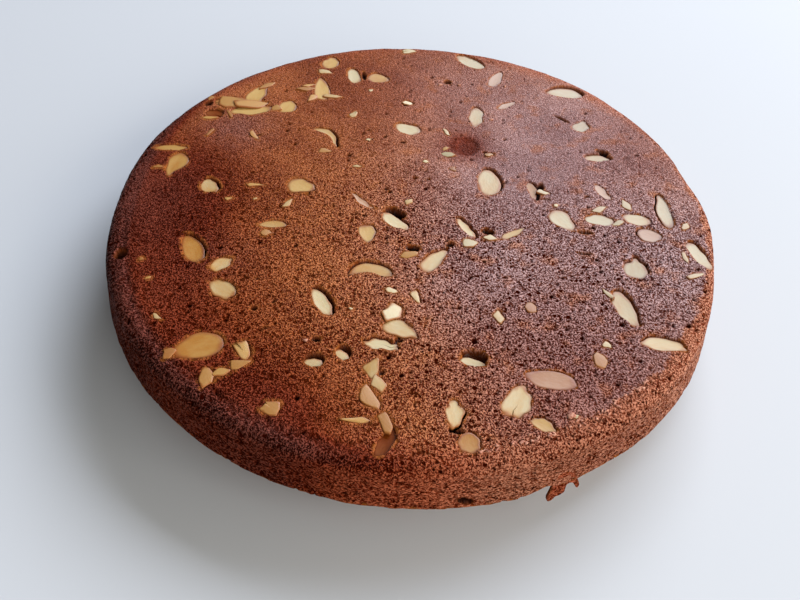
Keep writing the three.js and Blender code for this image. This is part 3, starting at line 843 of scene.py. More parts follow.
# Relief of a crust: slow unevenness, and pits of burst bubbles of mixed sizes. In millimetres.
PORE_SPACING = 5.4
PORE_RADIUS = 1.25
PORE_DEPTH = 1.4
PIT_POWER = 1.7  # the higher it is, the more of the pits are small
relief = bpy.data.node_groups.new("Crust relief", "GeometryNodeTree")
relief_inputs = {}
relief.interface.new_socket("Geometry", in_out="INPUT", socket_type="NodeSocketGeometry")
for name in ("Swells", "Dimples", "Pit spacing", "Pit radius", "Pit depth", "Seed", "Material"):
    kind = "NodeSocketMaterial" if name == "Material" else "NodeSocketFloat"
    item = relief.interface.new_socket(name, in_out="INPUT", socket_type=kind)
    relief_inputs[name] = item.identifier
relief.interface.new_socket("Geometry", in_out="OUTPUT", socket_type="NodeSocketGeometry")
given = add(relief, "NodeGroupInput")
grain, out, hold = [
    add(relief, "GeometryNodeInputNamedAttribute", {"Name": name}, data_type=kind)
    for name, kind in [("grain", "FLOAT_VECTOR"), ("out", "FLOAT_VECTOR"), ("hold", "FLOAT")]
]
spot = add(
    relief, "ShaderNodeVectorMath", grain.outputs["Attribute"], given.outputs["Seed"], operation="ADD")
swells = add(relief, "ShaderNodeTexNoise", {"Vector": spot, "Scale": 1 / 30, "Detail": 2})
dimples = add(relief, "ShaderNodeTexNoise", {"Vector": spot, "Scale": 1 / 5, "Detail": 3})
waves = []
for texture, amount in [(swells, "Swells"), (dimples, "Dimples")]:
    centred = add(relief, "ShaderNodeMath", texture, 0.5, operation="SUBTRACT")
    waves.append(add(relief, "ShaderNodeMath", centred, given.outputs[amount], operation="MULTIPLY"))
total = add(relief, "ShaderNodeMath", waves[0], waves[1], operation="ADD")
closeness = add(relief, "ShaderNodeMath", 1.0, given.outputs["Pit spacing"], operation="DIVIDE")
cells = add(relief, "ShaderNodeTexVoronoi", {"Vector": spot, "Scale": closeness, "Randomness": 1.0})
distance = add(
    relief, "ShaderNodeMath",
    cells.outputs["Distance"], given.outputs["Pit spacing"], operation="MULTIPLY",
)
lot = add(relief, "ShaderNodeSeparateXYZ", cells.outputs["Color"])
uneven_size = add(relief, "ShaderNodeMath", lot, PIT_POWER, operation="POWER")
radius = add(relief, "ShaderNodeMath", uneven_size, given.outputs["Pit radius"], operation="MULTIPLY")
wider = add(relief, "ShaderNodeMath", radius, 0.3, operation="ADD")
pit = add(relief, "ShaderNodeMapRange", distance, 0.15, wider, 1.0, 0.0, interpolation_type="SMOOTHSTEP")
sink = add(relief, "ShaderNodeMath", pit, given.outputs["Pit depth"], operation="MULTIPLY")
height = add(relief, "ShaderNodeMath", total, sink, operation="SUBTRACT")
# A few wide pores, less than one to a square centimetre.
apart = add(relief, "ShaderNodeTexVoronoi", {"Vector": spot, "Scale": 1 / PORE_SPACING})
pore_lot = add(relief, "ShaderNodeSeparateXYZ", apart.outputs["Color"])
pore_radius = add(relief, "ShaderNodeMapRange", pore_lot, 0.35, 1.0, 0.0, PORE_RADIUS)
pore_from = add(relief, "ShaderNodeMath", apart.outputs["Distance"], PORE_SPACING, operation="MULTIPLY")
pore_past = add(relief, "ShaderNodeMath", pore_from, pore_radius, operation="SUBTRACT")
pore = add(relief, "ShaderNodeMapRange", pore_past, -0.5, 0.15, PORE_DEPTH, 0.0)
height = add(relief, "ShaderNodeMath", height, pore, operation="SUBTRACT")
masked = add(relief, "ShaderNodeMath", height, hold.outputs["Attribute"], operation="MULTIPLY")
metres = add(relief, "ShaderNodeMath", masked, MM, operation="MULTIPLY")
offset = add(
    relief, "ShaderNodeVectorMath", {0: out.outputs["Attribute"], "Scale": metres}, operation="SCALE")
moved = add(relief, "GeometryNodeSetPosition", {"Geometry": given.outputs["Geometry"], "Offset": offset})
real = add(relief, "GeometryNodeRealizeInstances", moved)
coated = add(relief, "GeometryNodeSetMaterial", {"Geometry": real, "Material": given.outputs["Material"]})
add(relief, "NodeGroupOutput", coated)


def apply_relief(obj, material, **sizes):
    """Runs the relief on a piece and keeps the result as a plain mesh."""
    modifier = obj.modifiers.new("Relief", "NODES")
    modifier.node_group = relief
    for name, value in sizes.items():
        modifier[relief_inputs[name.replace("_", " ")]] = value
    modifier[relief_inputs["Material"]] = material
    ready = obj.evaluated_get(bpy.context.evaluated_depsgraph_get())
    mesh = bpy.data.meshes.new_from_object(ready)
    obj.modifiers.remove(modifier)
    plain = obj.data
    obj.data = mesh
    mesh.name = obj.name
    bpy.data.meshes.remove(plain)


def crust_material(name, skin_hex, ridge_hex, pore_hex, cell, lace, pit_spacing, pit_radius, seed):
    """Baked chocolate sponge skin: a lace of paler ridges round dark burst bubbles."""
    material, tree, shader = new_material(name)
    spot = add(tree, "ShaderNodeAttribute", attribute_name="grain").outputs["Vector"]
    halo, hole, browning, bloom, porous_here, reach, sharp = [
        add(tree, "ShaderNodeAttribute", attribute_name=look).outputs["Fac"]
        for look in ("halo", "hole", "browning", "bloom", "porous", "reach", "sharp")
    ]
    # Noises, by their size in millimetres and their detail.
    waver, crowd, speckle, patches, fray, sheen_noise, soaked = [
        add(tree, "ShaderNodeTexNoise", {0: spot, "Scale": 1 / size, "Detail": detail})
        for size, detail in [(1.8, 1), (6, 2), (0.55, 1), (24, 4), (1.6, 2), (9, 3), (3.5, 2)]
    ]
    aside = add(
        tree, "ShaderNodeVectorMath", waver.outputs["Color"], (0.5, 0.5, 0.5), operation="SUBTRACT")
    pushed = add(tree, "ShaderNodeVectorMath", {0: aside, "Scale": 1.5}, operation="SCALE")
    bent = add(tree, "ShaderNodeVectorMath", spot, pushed, operation="ADD")
    # Small bubbles of mixed size, more of them open in some places than in others.
    cells = add(tree, "ShaderNodeTexVoronoi", {0: bent, "Scale": 1 / cell})
    lot = add(tree, "ShaderNodeSeparateXYZ", cells.outputs["Color"])
    openness = add(tree, "ShaderNodeMapRange", crowd, 0.35, 0.65, 0.1, 0.48)
    mouth = add(tree, "ShaderNodeMath", lot, openness, operation="MULTIPLY")
    edge = add(tree, "ShaderNodeMath", mouth, 0.16, operation="ADD")
    bubble = add(tree, "ShaderNodeMapRange", cells.outputs["Distance"], mouth, edge, 1.0, 0.0)
    # The lace between them: ridges that wander and join.
    strands = add(tree, "ShaderNodeTexNoise", {0: bent, "Scale": 1 / lace, "Detail": 1})
    gap = add(tree, "ShaderNodeMapRange", strands, 0.38, 0.52, 1.0, 0.0)
    # The larger pits are the ones that the relief has sunk into the skin.
    seeded = add(tree, "ShaderNodeVectorMath", spot, (seed, seed, seed), operation="ADD")
    pits = add(tree, "ShaderNodeTexVoronoi", {0: seeded, "Scale": 1 / pit_spacing})
    pit_lot = add(tree, "ShaderNodeSeparateXYZ", pits.outputs["Color"])
    pit_size = add(tree, "ShaderNodeMath", pit_lot, PIT_POWER, operation="POWER")
    pit_reach = add(tree, "ShaderNodeMath", pit_size, pit_radius / pit_spacing, operation="MULTIPLY")
    pit_edge = add(tree, "ShaderNodeMath", pit_reach, 0.28 / pit_spacing, operation="ADD")
    pit = add(
        tree, "ShaderNodeMapRange", pits.outputs["Distance"], 0.25 / pit_spacing, pit_edge, 1.0, 0.0)
    # Past the paper's edge the tin has sealed the skin, except in the darker places, partly baked darker
    # and dried, partly painted shade.
    sealed = add(tree, "ShaderNodeMapRange", reach, 0.0, 8.0, 1.0, 0.8)
    dried_and_shaded = add(tree, "ShaderNodeMapRange", browning, 0.1, 0.8, 0.0, 1.0)
    laced = add(tree, "ShaderNodeMath", sealed, dried_and_shaded, operation="MAXIMUM")
    coarse = add(tree, "ShaderNodeMapRange", porous_here, 0.3, 1.0, 0.5, 1.25)
    laced = add(tree, "ShaderNodeMath", laced, coarse, operation="MULTIPLY")
    gap_here = add(tree, "ShaderNodeMath", gap, laced, operation="MULTIPLY")
    open_pits = add(tree, "ShaderNodeMath", bubble, pit, operation="MAXIMUM")
    apart = add(tree, "ShaderNodeTexVoronoi", {0: seeded, "Scale": 1 / PORE_SPACING})
    pore_lot = add(tree, "ShaderNodeSeparateXYZ", apart.outputs["Color"])
    pore_radius = add(tree, "ShaderNodeMapRange", pore_lot, 0.35, 1.0, 0.0, PORE_RADIUS / PORE_SPACING)
    pore_past = add(tree, "ShaderNodeMath", apart.outputs["Distance"], pore_radius, operation="SUBTRACT")
    pore = add(tree, "ShaderNodeMapRange", pore_past, -0.35 / PORE_SPACING, 0.0, 1.0, 0.0)
    small_open = add(tree, "ShaderNodeMath", open_pits, porous_here, operation="MULTIPLY")
    wide_here = add(tree, "ShaderNodeMapRange", porous_here, 0.3, 0.7, 0.3, 1.0)
    wide_open = add(tree, "ShaderNodeMath", pore, wide_here, operation="MULTIPLY")
    openings = add(tree, "ShaderNodeMath", small_open, wide_open, operation="MAXIMUM")
    # Crests are lighter, some more than others: partly painted highlight.
    crisp = add(tree, "ShaderNodeMapRange", speckle, 0.38, 0.66, 0.0, 1.0)
    crest = add(tree, "ShaderNodeMapRange", strands, 0.5, 0.66, 0.0, 1.0)
    crested = add(tree, "ShaderNodeMath", crest, crisp, operation="ADD")
    tone = add(tree, "ShaderNodeMapRange", patches, 0.4, 0.62)
    evened = add(tree, "ShaderNodeMix", {0: coarse, 2: 0.66, 3: crested}, clamp_factor=False)
    lit = add(tree, "ShaderNodeMath", evened, 0.6, 0.02, operation="MULTIPLY_ADD")
    lit_here = add(tree, "ShaderNodeMath", tone, 0.3, lit, operation="MULTIPLY_ADD")

    def crusted(low_hex, high_hex):
        """The skin's colour between its hollows and its crests, the contrast partly painted shade and
        highlight.
        """
        return add(
            tree, "ShaderNodeMix", {0: lit_here, 6: srgb(low_hex), 7: srgb(high_hex)}, data_type="RGBA")

    # Past the paper's edge the crust is plain orange brown. Within it, one side has a painted sheen, a
    # mauve that stands in for the window's reflection.
    frayed = add(tree, "ShaderNodeMath", fray, 5.0, reach, operation="MULTIPLY_ADD")
    blur = add(tree, "ShaderNodeMapRange", sharp, 0.0, 1.0, 9.0, 1.0)
    past_low = add(tree, "ShaderNodeMath", 2.5, blur, operation="SUBTRACT")
    past_high = add(tree, "ShaderNodeMath", 2.5, blur, operation="ADD")
    bare = add(tree, "ShaderNodeMapRange", frayed, past_low, past_high)
    sheen_patch = add(tree, "ShaderNodeMapRange", sheen_noise, 0.68, 0.54, 0.4, 1.0)
    painted_sheen_here = add(tree, "ShaderNodeMath", bloom, sheen_patch, operation="MULTIPLY")
    papered = add(tree, "ShaderNodeMath", 1.0, bare, operation="SUBTRACT")
    painted_sheen_weight = add(tree, "ShaderNodeMath", painted_sheen_here, papered, operation="MULTIPLY")
    # Bare of paper, it is paler and less red on the right, the side of the painted sheen.
    bared = add(
        tree, "ShaderNodeMix",
        {0: sharp, 6: crusted("#812e13", "#cb7451"), 7: crusted("#82391f", "#cd8f70")},
        data_type="RGBA",
    )
    scorch_and_shade = add(tree, "ShaderNodeMapRange", browning, 0.8, 1.7, 0.0, 0.9)
    patchy = add(tree, "ShaderNodeMapRange", soaked, 0.42, 0.6, 0.25, 1.2)
    oiled = add(tree, "ShaderNodeMath", halo, patchy, operation="MULTIPLY")
    stain = add(tree, "ShaderNodeMapRange", oiled, 0.15, 0.8, 0.0, 0.9)
    within = add(tree, "ShaderNodeMapRange", hole, 0.02, 0.3)
    below = add(tree, "ShaderNodeMapRange", hole, 0.15, 0.85)
    colour = crusted(skin_hex, ridge_hex)
    for amount, coat, blend in [
        (painted_sheen_weight, crusted("#6c3a34", "#b89898"), "MIX"),  # painted sheen: a dull mauve standing in for the window's reflection
        (bare, bared, "MIX"),  # past the paper's edge
        (browning, crusted("#480e02", "#88381a"), "MIX"),  # darker places: partly baked darker, partly painted shade
        (scorch_and_shade, crusted("#200806", "#744036"), "MIX"),  # darkest places: partly nearly burnt, partly painted deep shade
        (gap_here, srgb("#a47f68"), "MULTIPLY"),  # painted shade between the ridges of the lace
        (openings, srgb(pore_hex), "MIX"),  # painted shade down in burst bubbles
        (stain, srgb("#9c5a2a"), "MIX"),  # almond oil and thin batter, round slices and hollows
        (within, srgb("#72381a"), "MIX"),  # smooth crumb just within the rim of a hollow
        (below, srgb("#260d06"), "MIX"),  # painted shade down in a hollow, nearly black
    ]:
        colour = add(
            tree, "ShaderNodeMix", {0: amount, 6: colour, 7: coat}, data_type="RGBA", blend_type=blend)
    level = add(tree, "ShaderNodeMath", crested, 0.3, operation="MULTIPLY")
    sunk = add(tree, "ShaderNodeMath", gap_here, 0.55, operation="MULTIPLY")
    hollow = add(tree, "ShaderNodeMath", openings, sunk, operation="MAXIMUM")
    risen = add(tree, "ShaderNodeMath", level, hollow, operation="SUBTRACT")
    outside = add(tree, "ShaderNodeMath", 1.0, hole, operation="SUBTRACT")
    relief_here = add(tree, "ShaderNodeMath", risen, outside, operation="MULTIPLY")
    bump = add(tree, "ShaderNodeBump", {"Strength": 1.0, "Distance": 0.5 * MM, "Height": relief_here})
    dull = add(tree, "ShaderNodeMapRange", hollow, 0.0, 0.5, 0.42, 0.9)
    gloss = add(tree, "ShaderNodeMapRange", hollow, 0.0, 0.5, 0.4, 0.0)
    rougher = add(tree, "ShaderNodeMath", bare, browning, operation="MAXIMUM")
    waxed = add(tree, "ShaderNodeMapRange", bloom, 0.0, 0.8, 0.45, 1.0)
    worn_off = add(tree, "ShaderNodeMapRange", rougher, 0.0, 1.0, 1.0, 0.22)
    sheen = add(tree, "ShaderNodeMath", waxed, worn_off, operation="MULTIPLY")
    glossy = add(tree, "ShaderNodeMath", gloss, sheen, operation="MULTIPLY")
    feed(tree, shader, {
        "Base Color": colour, "Normal": bump, "Roughness": dull, "Specular IOR Level": glossy,
    })
    return material


PIT_SPACING = 2.7
PIT_RADIUS = 0.95
TOP_SEED = 11.0
top_look = crust_material(
    "Chocolate sponge crust baked on greased paper", "#74280b", "#c87c44", "#300700",
    1.8, 0.7, PIT_SPACING, PIT_RADIUS, TOP_SEED,
)
apply_relief(
    top, top_look,
    Swells=1.1, Dimples=0.5, Pit_spacing=PIT_SPACING, Pit_radius=PIT_RADIUS, Pit_depth=0.8,
    Seed=TOP_SEED,
)
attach(top, "root")


# ---------------------------------------------------------------------------------------------
# The crust of the wall. Batter that climbed the tin's slanted side as it rose: matt, with pores
# drawn out sideways, and a thin ragged lip at the rim where the batter ended.

DOME_HEIGHT = 15 * MM  # how high the rim stands over the resting plane
WALL_COLUMNS = 2112
WALL_ROWS = 34
WALL_INSIDE = 6 * MM
LIP = 0.9 * MM
CHIPPED_RIM = [(-57, 7, 1.6 * MM), (-66.8, 2.4, 3.2 * MM), (-129, 6, 1.3 * MM)]
RAGGED = [(31, 40, 0.1), (57, 10, 0.12), (97, 70, 0.12), (149, 30, 0.1)]  # waves, start, millimetres
WALL_HOLLOW = (-79.5, 19.2, 5.8, 2.8, 4.4)  # azimuth; height, length, width and depth in mm
WALL_HOLLOW_TILT = math.radians(-28)


def cake_ring(radius, azimuth, level):
    """Points of a ring that follows the cake's uneven outline."""
    ring = circle(radius, azimuth, level)
    ring[:, :2] *= swell(ring[:, 0], ring[:, 1])[:, None]
    return ring


def rim_lift(azimuth):
    """How much higher than level the rim is in a direction."""
    lift = 0.4 * MM * np.sin(np.radians(3 * azimuth + 70))
    for count, start, size in RAGGED:
        lift = lift + size * MM * np.sin(np.radians(count * azimuth + start))
    for middle, spread, height in CHIPPED_RIM:
        lift = lift + height * bump_at(azimuth, middle, spread)
    return lift


def wall_profile():
    """Radius, level and outward lean of the wall's rows, from the shoulder down round the lip."""
    rows = [(RIM_RADIUS - WALL_TAPER - 0.25 * MM, WALL_TOP + 0.9 * MM, 0.4)]
    top_radius, low = RIM_RADIUS - WALL_TAPER, DOME_HEIGHT + LIP
    for i in range(WALL_ROWS + 1):
        t = i / WALL_ROWS
        rows.append((top_radius + (RIM_RADIUS - top_radius) * t, WALL_TOP + (low - WALL_TOP) * t, 0.05))
    for angle in (30, 60, 90):
        turn = math.radians(angle)
        rows.append((
            RIM_RADIUS - LIP * (1 - math.cos(turn)),
            low - LIP * math.sin(turn),
            -math.sin(turn) * 0.9,
        ))
    rows.append((RIM_RADIUS - 2.2 * MM, DOME_HEIGHT - 0.25 * MM, -1.2))
    rows.append((RIM_RADIUS - 4 * MM, DOME_HEIGHT - 0.6 * MM, -1.2))
    return rows


profile = wall_profile()
azimuths = 2 * math.pi * np.arange(WALL_COLUMNS) / WALL_COLUMNS
degrees = np.degrees(azimuths)
wall_rest, wall_out = [], []
for radius, level, lean in profile:
    at_rim = smooth(RIM_RADIUS - WALL_TAPER, RIM_RADIUS - LIP, radius)
    wall_rest.append(cake_ring(radius, azimuths, level + at_rim * rim_lift(degrees)))
    wall_out.append(circle(math.cos(lean), azimuths, math.sin(lean)))
rows = len(profile)
inside = [
    circle(RIM_RADIUS - WALL_TAPER - WALL_INSIDE, azimuths, level)
    for level in (DOME_HEIGHT + 1.5 * MM, WALL_TOP - 2.5 * MM)
]
wall_all = np.concatenate(wall_rest + inside)
wall_hold = np.ones(len(wall_all))
wall_hold[:WALL_COLUMNS] = 0.0
wall_hold[rows * WALL_COLUMNS:] = 0.0
wall_faces = []
for r in range(rows + 2):
    below = (r + 1) % (rows + 2)
    for i in range(WALL_COLUMNS):
        j = (i + 1) % WALL_COLUMNS
        wall_faces.append((
            r * WALL_COLUMNS + i, below * WALL_COLUMNS + i,
            below * WALL_COLUMNS + j, r * WALL_COLUMNS + j,
        ))
# The lip is thin and dried to a paler orange. A burst bubble has left a hollow above it.
wall_rest_all = wall_all.copy()
wall_out_all = np.concatenate(wall_out + wall_out[-2:])
row_of = np.arange(len(wall_all)) // WALL_COLUMNS
wall_stain = 0.75 * smooth(WALL_ROWS - 1, WALL_ROWS + 1, row_of) * (row_of < rows)
hollow_azimuth, hollow_height, length, width, depth = WALL_HOLLOW
wall_azimuth = np.degrees(np.arctan2(wall_all[:, 1], wall_all[:, 0]))
beside = np.radians(wall_azimuth - hollow_azimuth) * RIM_RADIUS / MM
above = wall_all[:, 2] / MM - hollow_height
near = np.where((np.hypot(beside, above) < length) & (row_of < rows))[0]
beside, above = (
    beside * math.cos(WALL_HOLLOW_TILT) + above * math.sin(WALL_HOLLOW_TILT),
    above * math.cos(WALL_HOLLOW_TILT) - beside * math.sin(WALL_HOLLOW_TILT),
)
distance = signed_distance(
    np.stack([beside[near], above[near]], 1), ragged_rim(length, width, 0.35, 5))[0]
wall_all[near] -= wall_out_all[near] * (bowl(distance, width, depth) * MM)[:, None]
wall_hold[near] = np.minimum(wall_hold[near], 0.25 + 0.75 * smooth(0.0, 0.8, distance))
# Inside the hollow the wall is painted dark: painted shade.
wall_hole_shade = np.zeros(len(wall_all))
wall_hole_shade[near] = smooth(0.6, 0.0, distance)
wall = mesh_object("crust_wall", wall_all, wall_faces)
add_relief_attributes(
    wall, wall_rest_all, wall_out_all, wall_hold, halo=wall_stain, hole=wall_hole_shade,
    **crust_looks(wall_rest_all[:, 0], wall_rest_all[:, 1]),
)
WALL_SEED = 29.0
WALL_PIT_SPACING = 3.0
WALL_PIT_RADIUS = 2.0
wall_look = crust_material(
    "Chocolate sponge wall, baked on the tin's side", "#74280b", "#c87c44", "#300700",
    1.6, 0.92, WALL_PIT_SPACING, WALL_PIT_RADIUS, WALL_SEED,
)
apply_relief(
    wall, wall_look,
    Swells=0.9, Dimples=0.6, Pit_spacing=WALL_PIT_SPACING, Pit_radius=WALL_PIT_RADIUS, Pit_depth=0.9,
    Seed=WALL_SEED,
)
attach(wall, "root")


# ---------------------------------------------------------------------------------------------
# The torn strip. Skin of the wall that stuck to the tin and tore when the cake was turned out:
# it hangs from the lip at the front right, curled outwards, with a paler edge.

STRIP_AZIMUTH = -63.5
STRIP_THICKNESS = 1.3 * MM
STRIP_CORNERS = np.array([  # along the wall and up from the rim, in millimetres
    (4.2, 4.4), (1.0, 7.5), (-2.4, 7.8), (-4.2, 6.2), (-4.8, 3.9), (-5.8, -0.4), (-6.8, -4.2),
    (-6.4, -6.2), (-5.0, -6.4), (-3.4, -5.0), (-1.5, -4.9), (0.3, -3.8), (0.6, -0.8), (1.6, 0.3),
    (3.6, -0.4), (5.8, -4.6), (6.8, -3.4), (5.6, 0.6),
])
middle_of_strip = STRIP_CORNERS.mean(0)
strip = Slice(
    "strip", (0, 0, 0), np.eye(3),
    roughen(rounded_loop((STRIP_CORNERS - middle_of_strip) * MM, 4), 0.1 * MM, 21),
)
flat, strip_faces, strip_inner = slice_mesh(strip, STRIP_THICKNESS, 0.3 * MM)
along, up = flat[:, 0] + middle_of_strip[0] * MM, flat[:, 1] + middle_of_strip[1] * MM
turn = math.radians(STRIP_AZIMUTH) + along / RIM_RADIUS
curl = 0.35 * MM + 0.9 * MM * np.clip(-up / (6 * MM), 0, 1)
wall_lean = WALL_TAPER * np.clip(up / (WALL_TOP - DOME_HEIGHT), 0, 1)
strip_radius = (RIM_RADIUS - wall_lean + curl + flat[:, 2]) * swell(
    RIM_RADIUS * np.cos(turn), RIM_RADIUS * np.sin(turn))
strip_points = circle(strip_radius, turn, DOME_HEIGHT + up)
torn = mesh_object("torn_strip", strip_points, strip_faces)
none = np.zeros(len(strip_points))
add_relief_attributes(
    torn, strip_points, strip_points / np.linalg.norm(strip_points, axis=1)[:, None], none,
    halo=0.35 * (1 - smooth(0.0, 0.2, strip_inner)), hole=none, browning=0.45 + none, bloom=none,
    reach=10.0 + none, sharp=none, porous=1.0 + none,
)
torn.data.materials.append(wall_look)
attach(torn, "root")


# ---------------------------------------------------------------------------------------------
# Crumbs. Torn points of sponge where the paper's edge pulled the skin up at the front right, and
# a few loose ones. They are broken open, so they are paler and rougher than the crust.

CRUMBS = [  # middle in plan, length, width and heading
    (10, 98.5, 2.4, 1.6, 20), (20, 99, 2.2, 1.7, 70), (44.5, 100.5, 1.8, 1.4, 0),
    (61.7, -108.6, 3.0, 2.4, 30), (-38.5, -81.5, 1.8, 1.2, 0), (36.5, 69.7, 2.0, 1.4, 0),
]
TORN_FROM, TORN_TO = -78.0, -44.0
TORN_POINTS = 46
for _ in range(TORN_POINTS):
    turn = math.radians(chance.uniform(TORN_FROM, TORN_TO))
    radius = PAPER_RADIUS / MM + chance.normal(0.6, 0.8)
    CRUMBS.append((
        radius * math.cos(turn), radius * math.sin(turn),
        chance.uniform(0.9, 2.6), chance.uniform(0.6, 1.1), math.degrees(turn) + chance.uniform(30, 150),
    ))
globe = bmesh.new()
bmesh.ops.create_icosphere(globe, subdivisions=2, radius=0.5)
ball = np.array([corner.co[:] for corner in globe.verts])
ball_faces = [tuple(corner.index for corner in face.verts) for face in globe.faces]
globe.free()
crumb_points, crumb_faces = [], []
for x, y, length, width, heading in CRUMBS:
    turn = math.radians(heading)
    lumps = ball * (1 + 0.25 * np.sin(7 * ball[:, :1] + x) + 0.2 * np.sin(9 * ball[:, 1:2] + y))
    lumps = lumps * np.array([length, width, 0.8 * width])
    first = sum(len(block) for block in crumb_points)
    crumb_points.append(np.stack([
        x * MM + (lumps[:, 0] * math.cos(turn) - lumps[:, 1] * math.sin(turn)) * MM,
        y * MM + (lumps[:, 0] * math.sin(turn) + lumps[:, 1] * math.cos(turn)) * MM,
        crust_level(x * MM, y * MM) + (0.1 + lumps[:, 2]) * MM,
    ], 1))
    crumb_faces.extend([tuple(first + corner for corner in face) for face in ball_faces])
crumbs = mesh_object("crumbs", np.concatenate(crumb_points), crumb_faces)
crumb_look, crumb_tree, crumb_shader = new_material("Torn chocolate sponge crumb")
crumb_spot = add(crumb_tree, "ShaderNodeTexCoord").outputs["Object"]
crumb_noise = add(crumb_tree, "ShaderNodeTexNoise", {0: crumb_spot, "Scale": 1 / (0.7 * MM), "Detail": 2})
crumb_tone = add(crumb_tree, "ShaderNodeMapRange", crumb_noise, 0.35, 0.65)
crumb_colour = add(
    crumb_tree, "ShaderNodeMix",
    {0: crumb_tone, 6: srgb("#8a4630"), 7: srgb("#d09a80")}, data_type="RGBA",
)
feed(crumb_tree, crumb_shader, {"Base Color": crumb_colour, "Roughness": 0.8})
crumbs.data.materials.append(crumb_look)
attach(crumbs, "root")


# ---------------------------------------------------------------------------------------------
# The underside and the crumb inside. The side that rose in the oven: a low dome with a dry,
# matt, finely pitted skin, which the cake rests on. The same piece is the solid crumb within.

UNDER_COLUMNS = 264
DOME_ROWS = 32
REST_RADIUS = 66 * MM
DOME_CURVE = 1.6
under_rows = [(radius * MM, 0.0) for radius in (2, 6, 12, 20, 28, 36, 44, 52, 60, 66)]
for i in range(1, DOME_ROWS + 1):
    t = i / DOME_ROWS
    radius = REST_RADIUS + (RIM_RADIUS - LIP - REST_RADIUS) * t
    under_rows.append((radius, DOME_HEIGHT * t ** DOME_CURVE))
under_rows[-1] = (RIM_RADIUS - 2.4 * MM, DOME_HEIGHT - 0.1 * MM)
turns = 2 * math.pi * np.arange(UNDER_COLUMNS) / UNDER_COLUMNS
under_rest = [cake_ring(radius, turns, level) for radius, level in under_rows]
# The crumb inside, which the wall and the top close over.
under_rest.append(circle(RIM_RADIUS - 5 * MM, turns, DOME_HEIGHT + 2.5 * MM))
under_rest.append(circle(RIM_RADIUS - 6 * MM, turns, WALL_TOP - 4 * MM))
under_all = np.concatenate(under_rest + [np.array([[0, 0, 0]])])
downward = np.tile([0, 0, -1.0], (len(under_all), 1))
under_faces = []
levels = len(under_rest)
for r in range(levels - 1):
    for i in range(UNDER_COLUMNS):
        j = (i + 1) % UNDER_COLUMNS
        under_faces.append((
            r * UNDER_COLUMNS + i, r * UNDER_COLUMNS + j,
            (r + 1) * UNDER_COLUMNS + j, (r + 1) * UNDER_COLUMNS + i,
        ))
tip = len(under_all) - 1
under_faces += [(tip, (i + 1) % UNDER_COLUMNS, i) for i in range(UNDER_COLUMNS)]
under_faces.append(tuple((levels - 1) * UNDER_COLUMNS + i for i in range(UNDER_COLUMNS)))
under = mesh_object("crumb_and_underside", under_all, under_faces)
under_hold = smooth(0.2 * MM, 1.5 * MM, under_all[:, 2])
under_hold[-1 - 2 * UNDER_COLUMNS:] = 0
none = np.zeros(len(under_all))
add_relief_attributes(
    under, under_all, downward, under_hold, halo=none, hole=none, browning=none, bloom=none,
    porous=1.0 + none, reach=20.0 + none, sharp=none,
)
UNDER_SEED = 47.0
UNDER_PIT_SPACING = 6.0
under_look = crust_material(
    "Risen chocolate sponge skin, dry", "#7d4028", "#9a5a40", "#2c120a",
    2.2, 0.85, UNDER_PIT_SPACING, PIT_RADIUS, UNDER_SEED,
)
apply_relief(
    under, under_look,
    Swells=0.8, Dimples=0.5, Pit_spacing=UNDER_PIT_SPACING, Pit_radius=PIT_RADIUS, Pit_depth=0.5,
    Seed=UNDER_SEED,
)
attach(under, "root")
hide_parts("sponge")


# ---------------------------------------------------------------------------------------------
# The floor: a plain, pale, matt worktop that the cake stands on. It is wide enough to fill the
# frame of the camera below.

HALF = 3.0  # half the worktop's width, in metres
floor = mesh_object(
    "floor", [(-HALF, -HALF, 0), (HALF, -HALF, 0), (HALF, HALF, 0), (-HALF, HALF, 0)],
    [(0, 1, 2, 3)], smooth=False,
)
floor_look, floor_tree, floor_shader = new_material("Pale matt worktop")
feed(floor_tree, floor_shader, {
    "Base Color": srgb("#c3c9cd"), "Roughness": 0.8, "Specular IOR Level": 0.1,
})
floor.data.materials.append(floor_look)


# ---------------------------------------------------------------------------------------------
# Light: a wide, cool window behind the cake to the right, the warmer room in front of it and to
# its right, and a faint even light from all round.

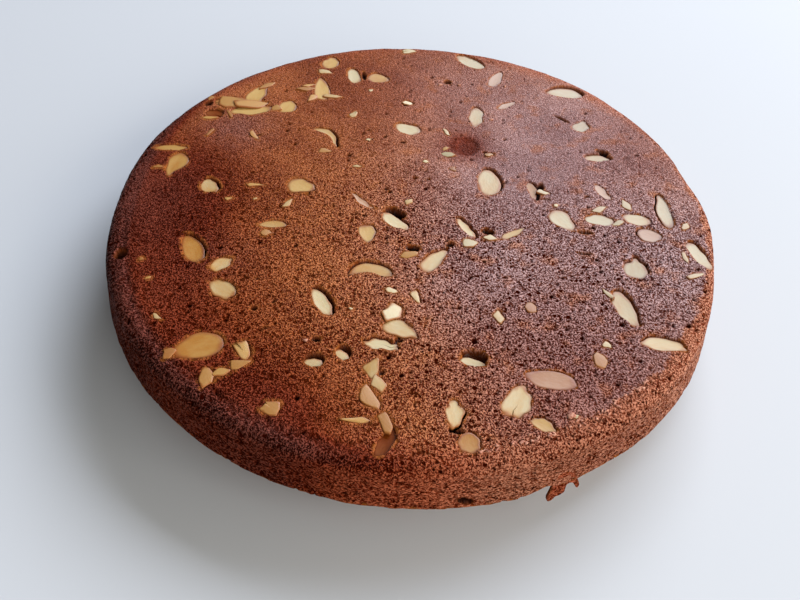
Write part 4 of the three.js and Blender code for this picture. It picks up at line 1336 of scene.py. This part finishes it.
def area_light(name, azimuth, elevation, distance, size, power, colour):
    """A rectangular light that faces the cake."""
    lamp = bpy.data.lights.new(name, "AREA")
    lamp.shape = "RECTANGLE"
    lamp.size, lamp.size_y = size
    lamp.energy = power
    lamp.color = srgb(colour)[:3]
    obj = bpy.data.objects.new(name, lamp)
    turn, rise = math.radians(azimuth), math.radians(elevation)
    level = math.cos(rise)
    place = Vector((math.cos(turn) * level, math.sin(turn) * level, math.sin(rise))) * distance
    obj.location = place
    obj.rotation_euler = place.to_track_quat("Z", "Y").to_euler()
    bpy.context.scene.collection.objects.link(obj)


area_light("window", 60, 37, 3.0, (2.6, 1.4), 150, "#f0f3ff")
area_light("room", -52, 26, 1.7, (2.2, 1.3), 30, "#fff7ee")
area_light("side room", 0, 24, 2.0, (1.6, 1.0), 20, "#fff2e6")
world = bpy.data.worlds.new("Room light")
bpy.context.scene.world = world
world.use_nodes = True
sky = world.node_tree.nodes["Background"]
feed(world.node_tree, sky, {"Color": srgb("#e8eef6"), "Strength": 0.08})
bpy.context.scene.view_settings.view_transform = "Standard"


# ---------------------------------------------------------------------------------------------
# The camera looks down on the cake from in front, held a little tipped. Its lens is as long as
# its frame is wide.

PITCH, YAW, ROLL = math.radians(48.15), math.radians(-0.843), math.radians(3.004)
CAMERA_AWAY = 273.872 * MM
CAMERA_HEIGHT = 278.553 * MM
FRAME_WIDTH = 36.0
ahead = Vector((
    math.sin(YAW) * math.cos(PITCH), math.cos(YAW) * math.cos(PITCH), -math.sin(PITCH)))
level_right = Vector((math.cos(YAW), -math.sin(YAW), 0))
level_up = level_right.cross(ahead)
right = level_right * math.cos(ROLL) + level_up * math.sin(ROLL)
up = level_up * math.cos(ROLL) - level_right * math.sin(ROLL)
lens = bpy.data.cameras.new("camera")
lens.sensor_width = FRAME_WIDTH
lens.lens = FRAME_WIDTH
camera = bpy.data.objects.new("camera", lens)
camera.matrix_world = Matrix((
    (right.x, up.x, -ahead.x, 0),
    (right.y, up.y, -ahead.y, -CAMERA_AWAY),
    (right.z, up.z, -ahead.z, CAMERA_HEIGHT),
    (0, 0, 0, 1),
))
bpy.context.scene.collection.objects.link(camera)
bpy.context.scene.camera = camera
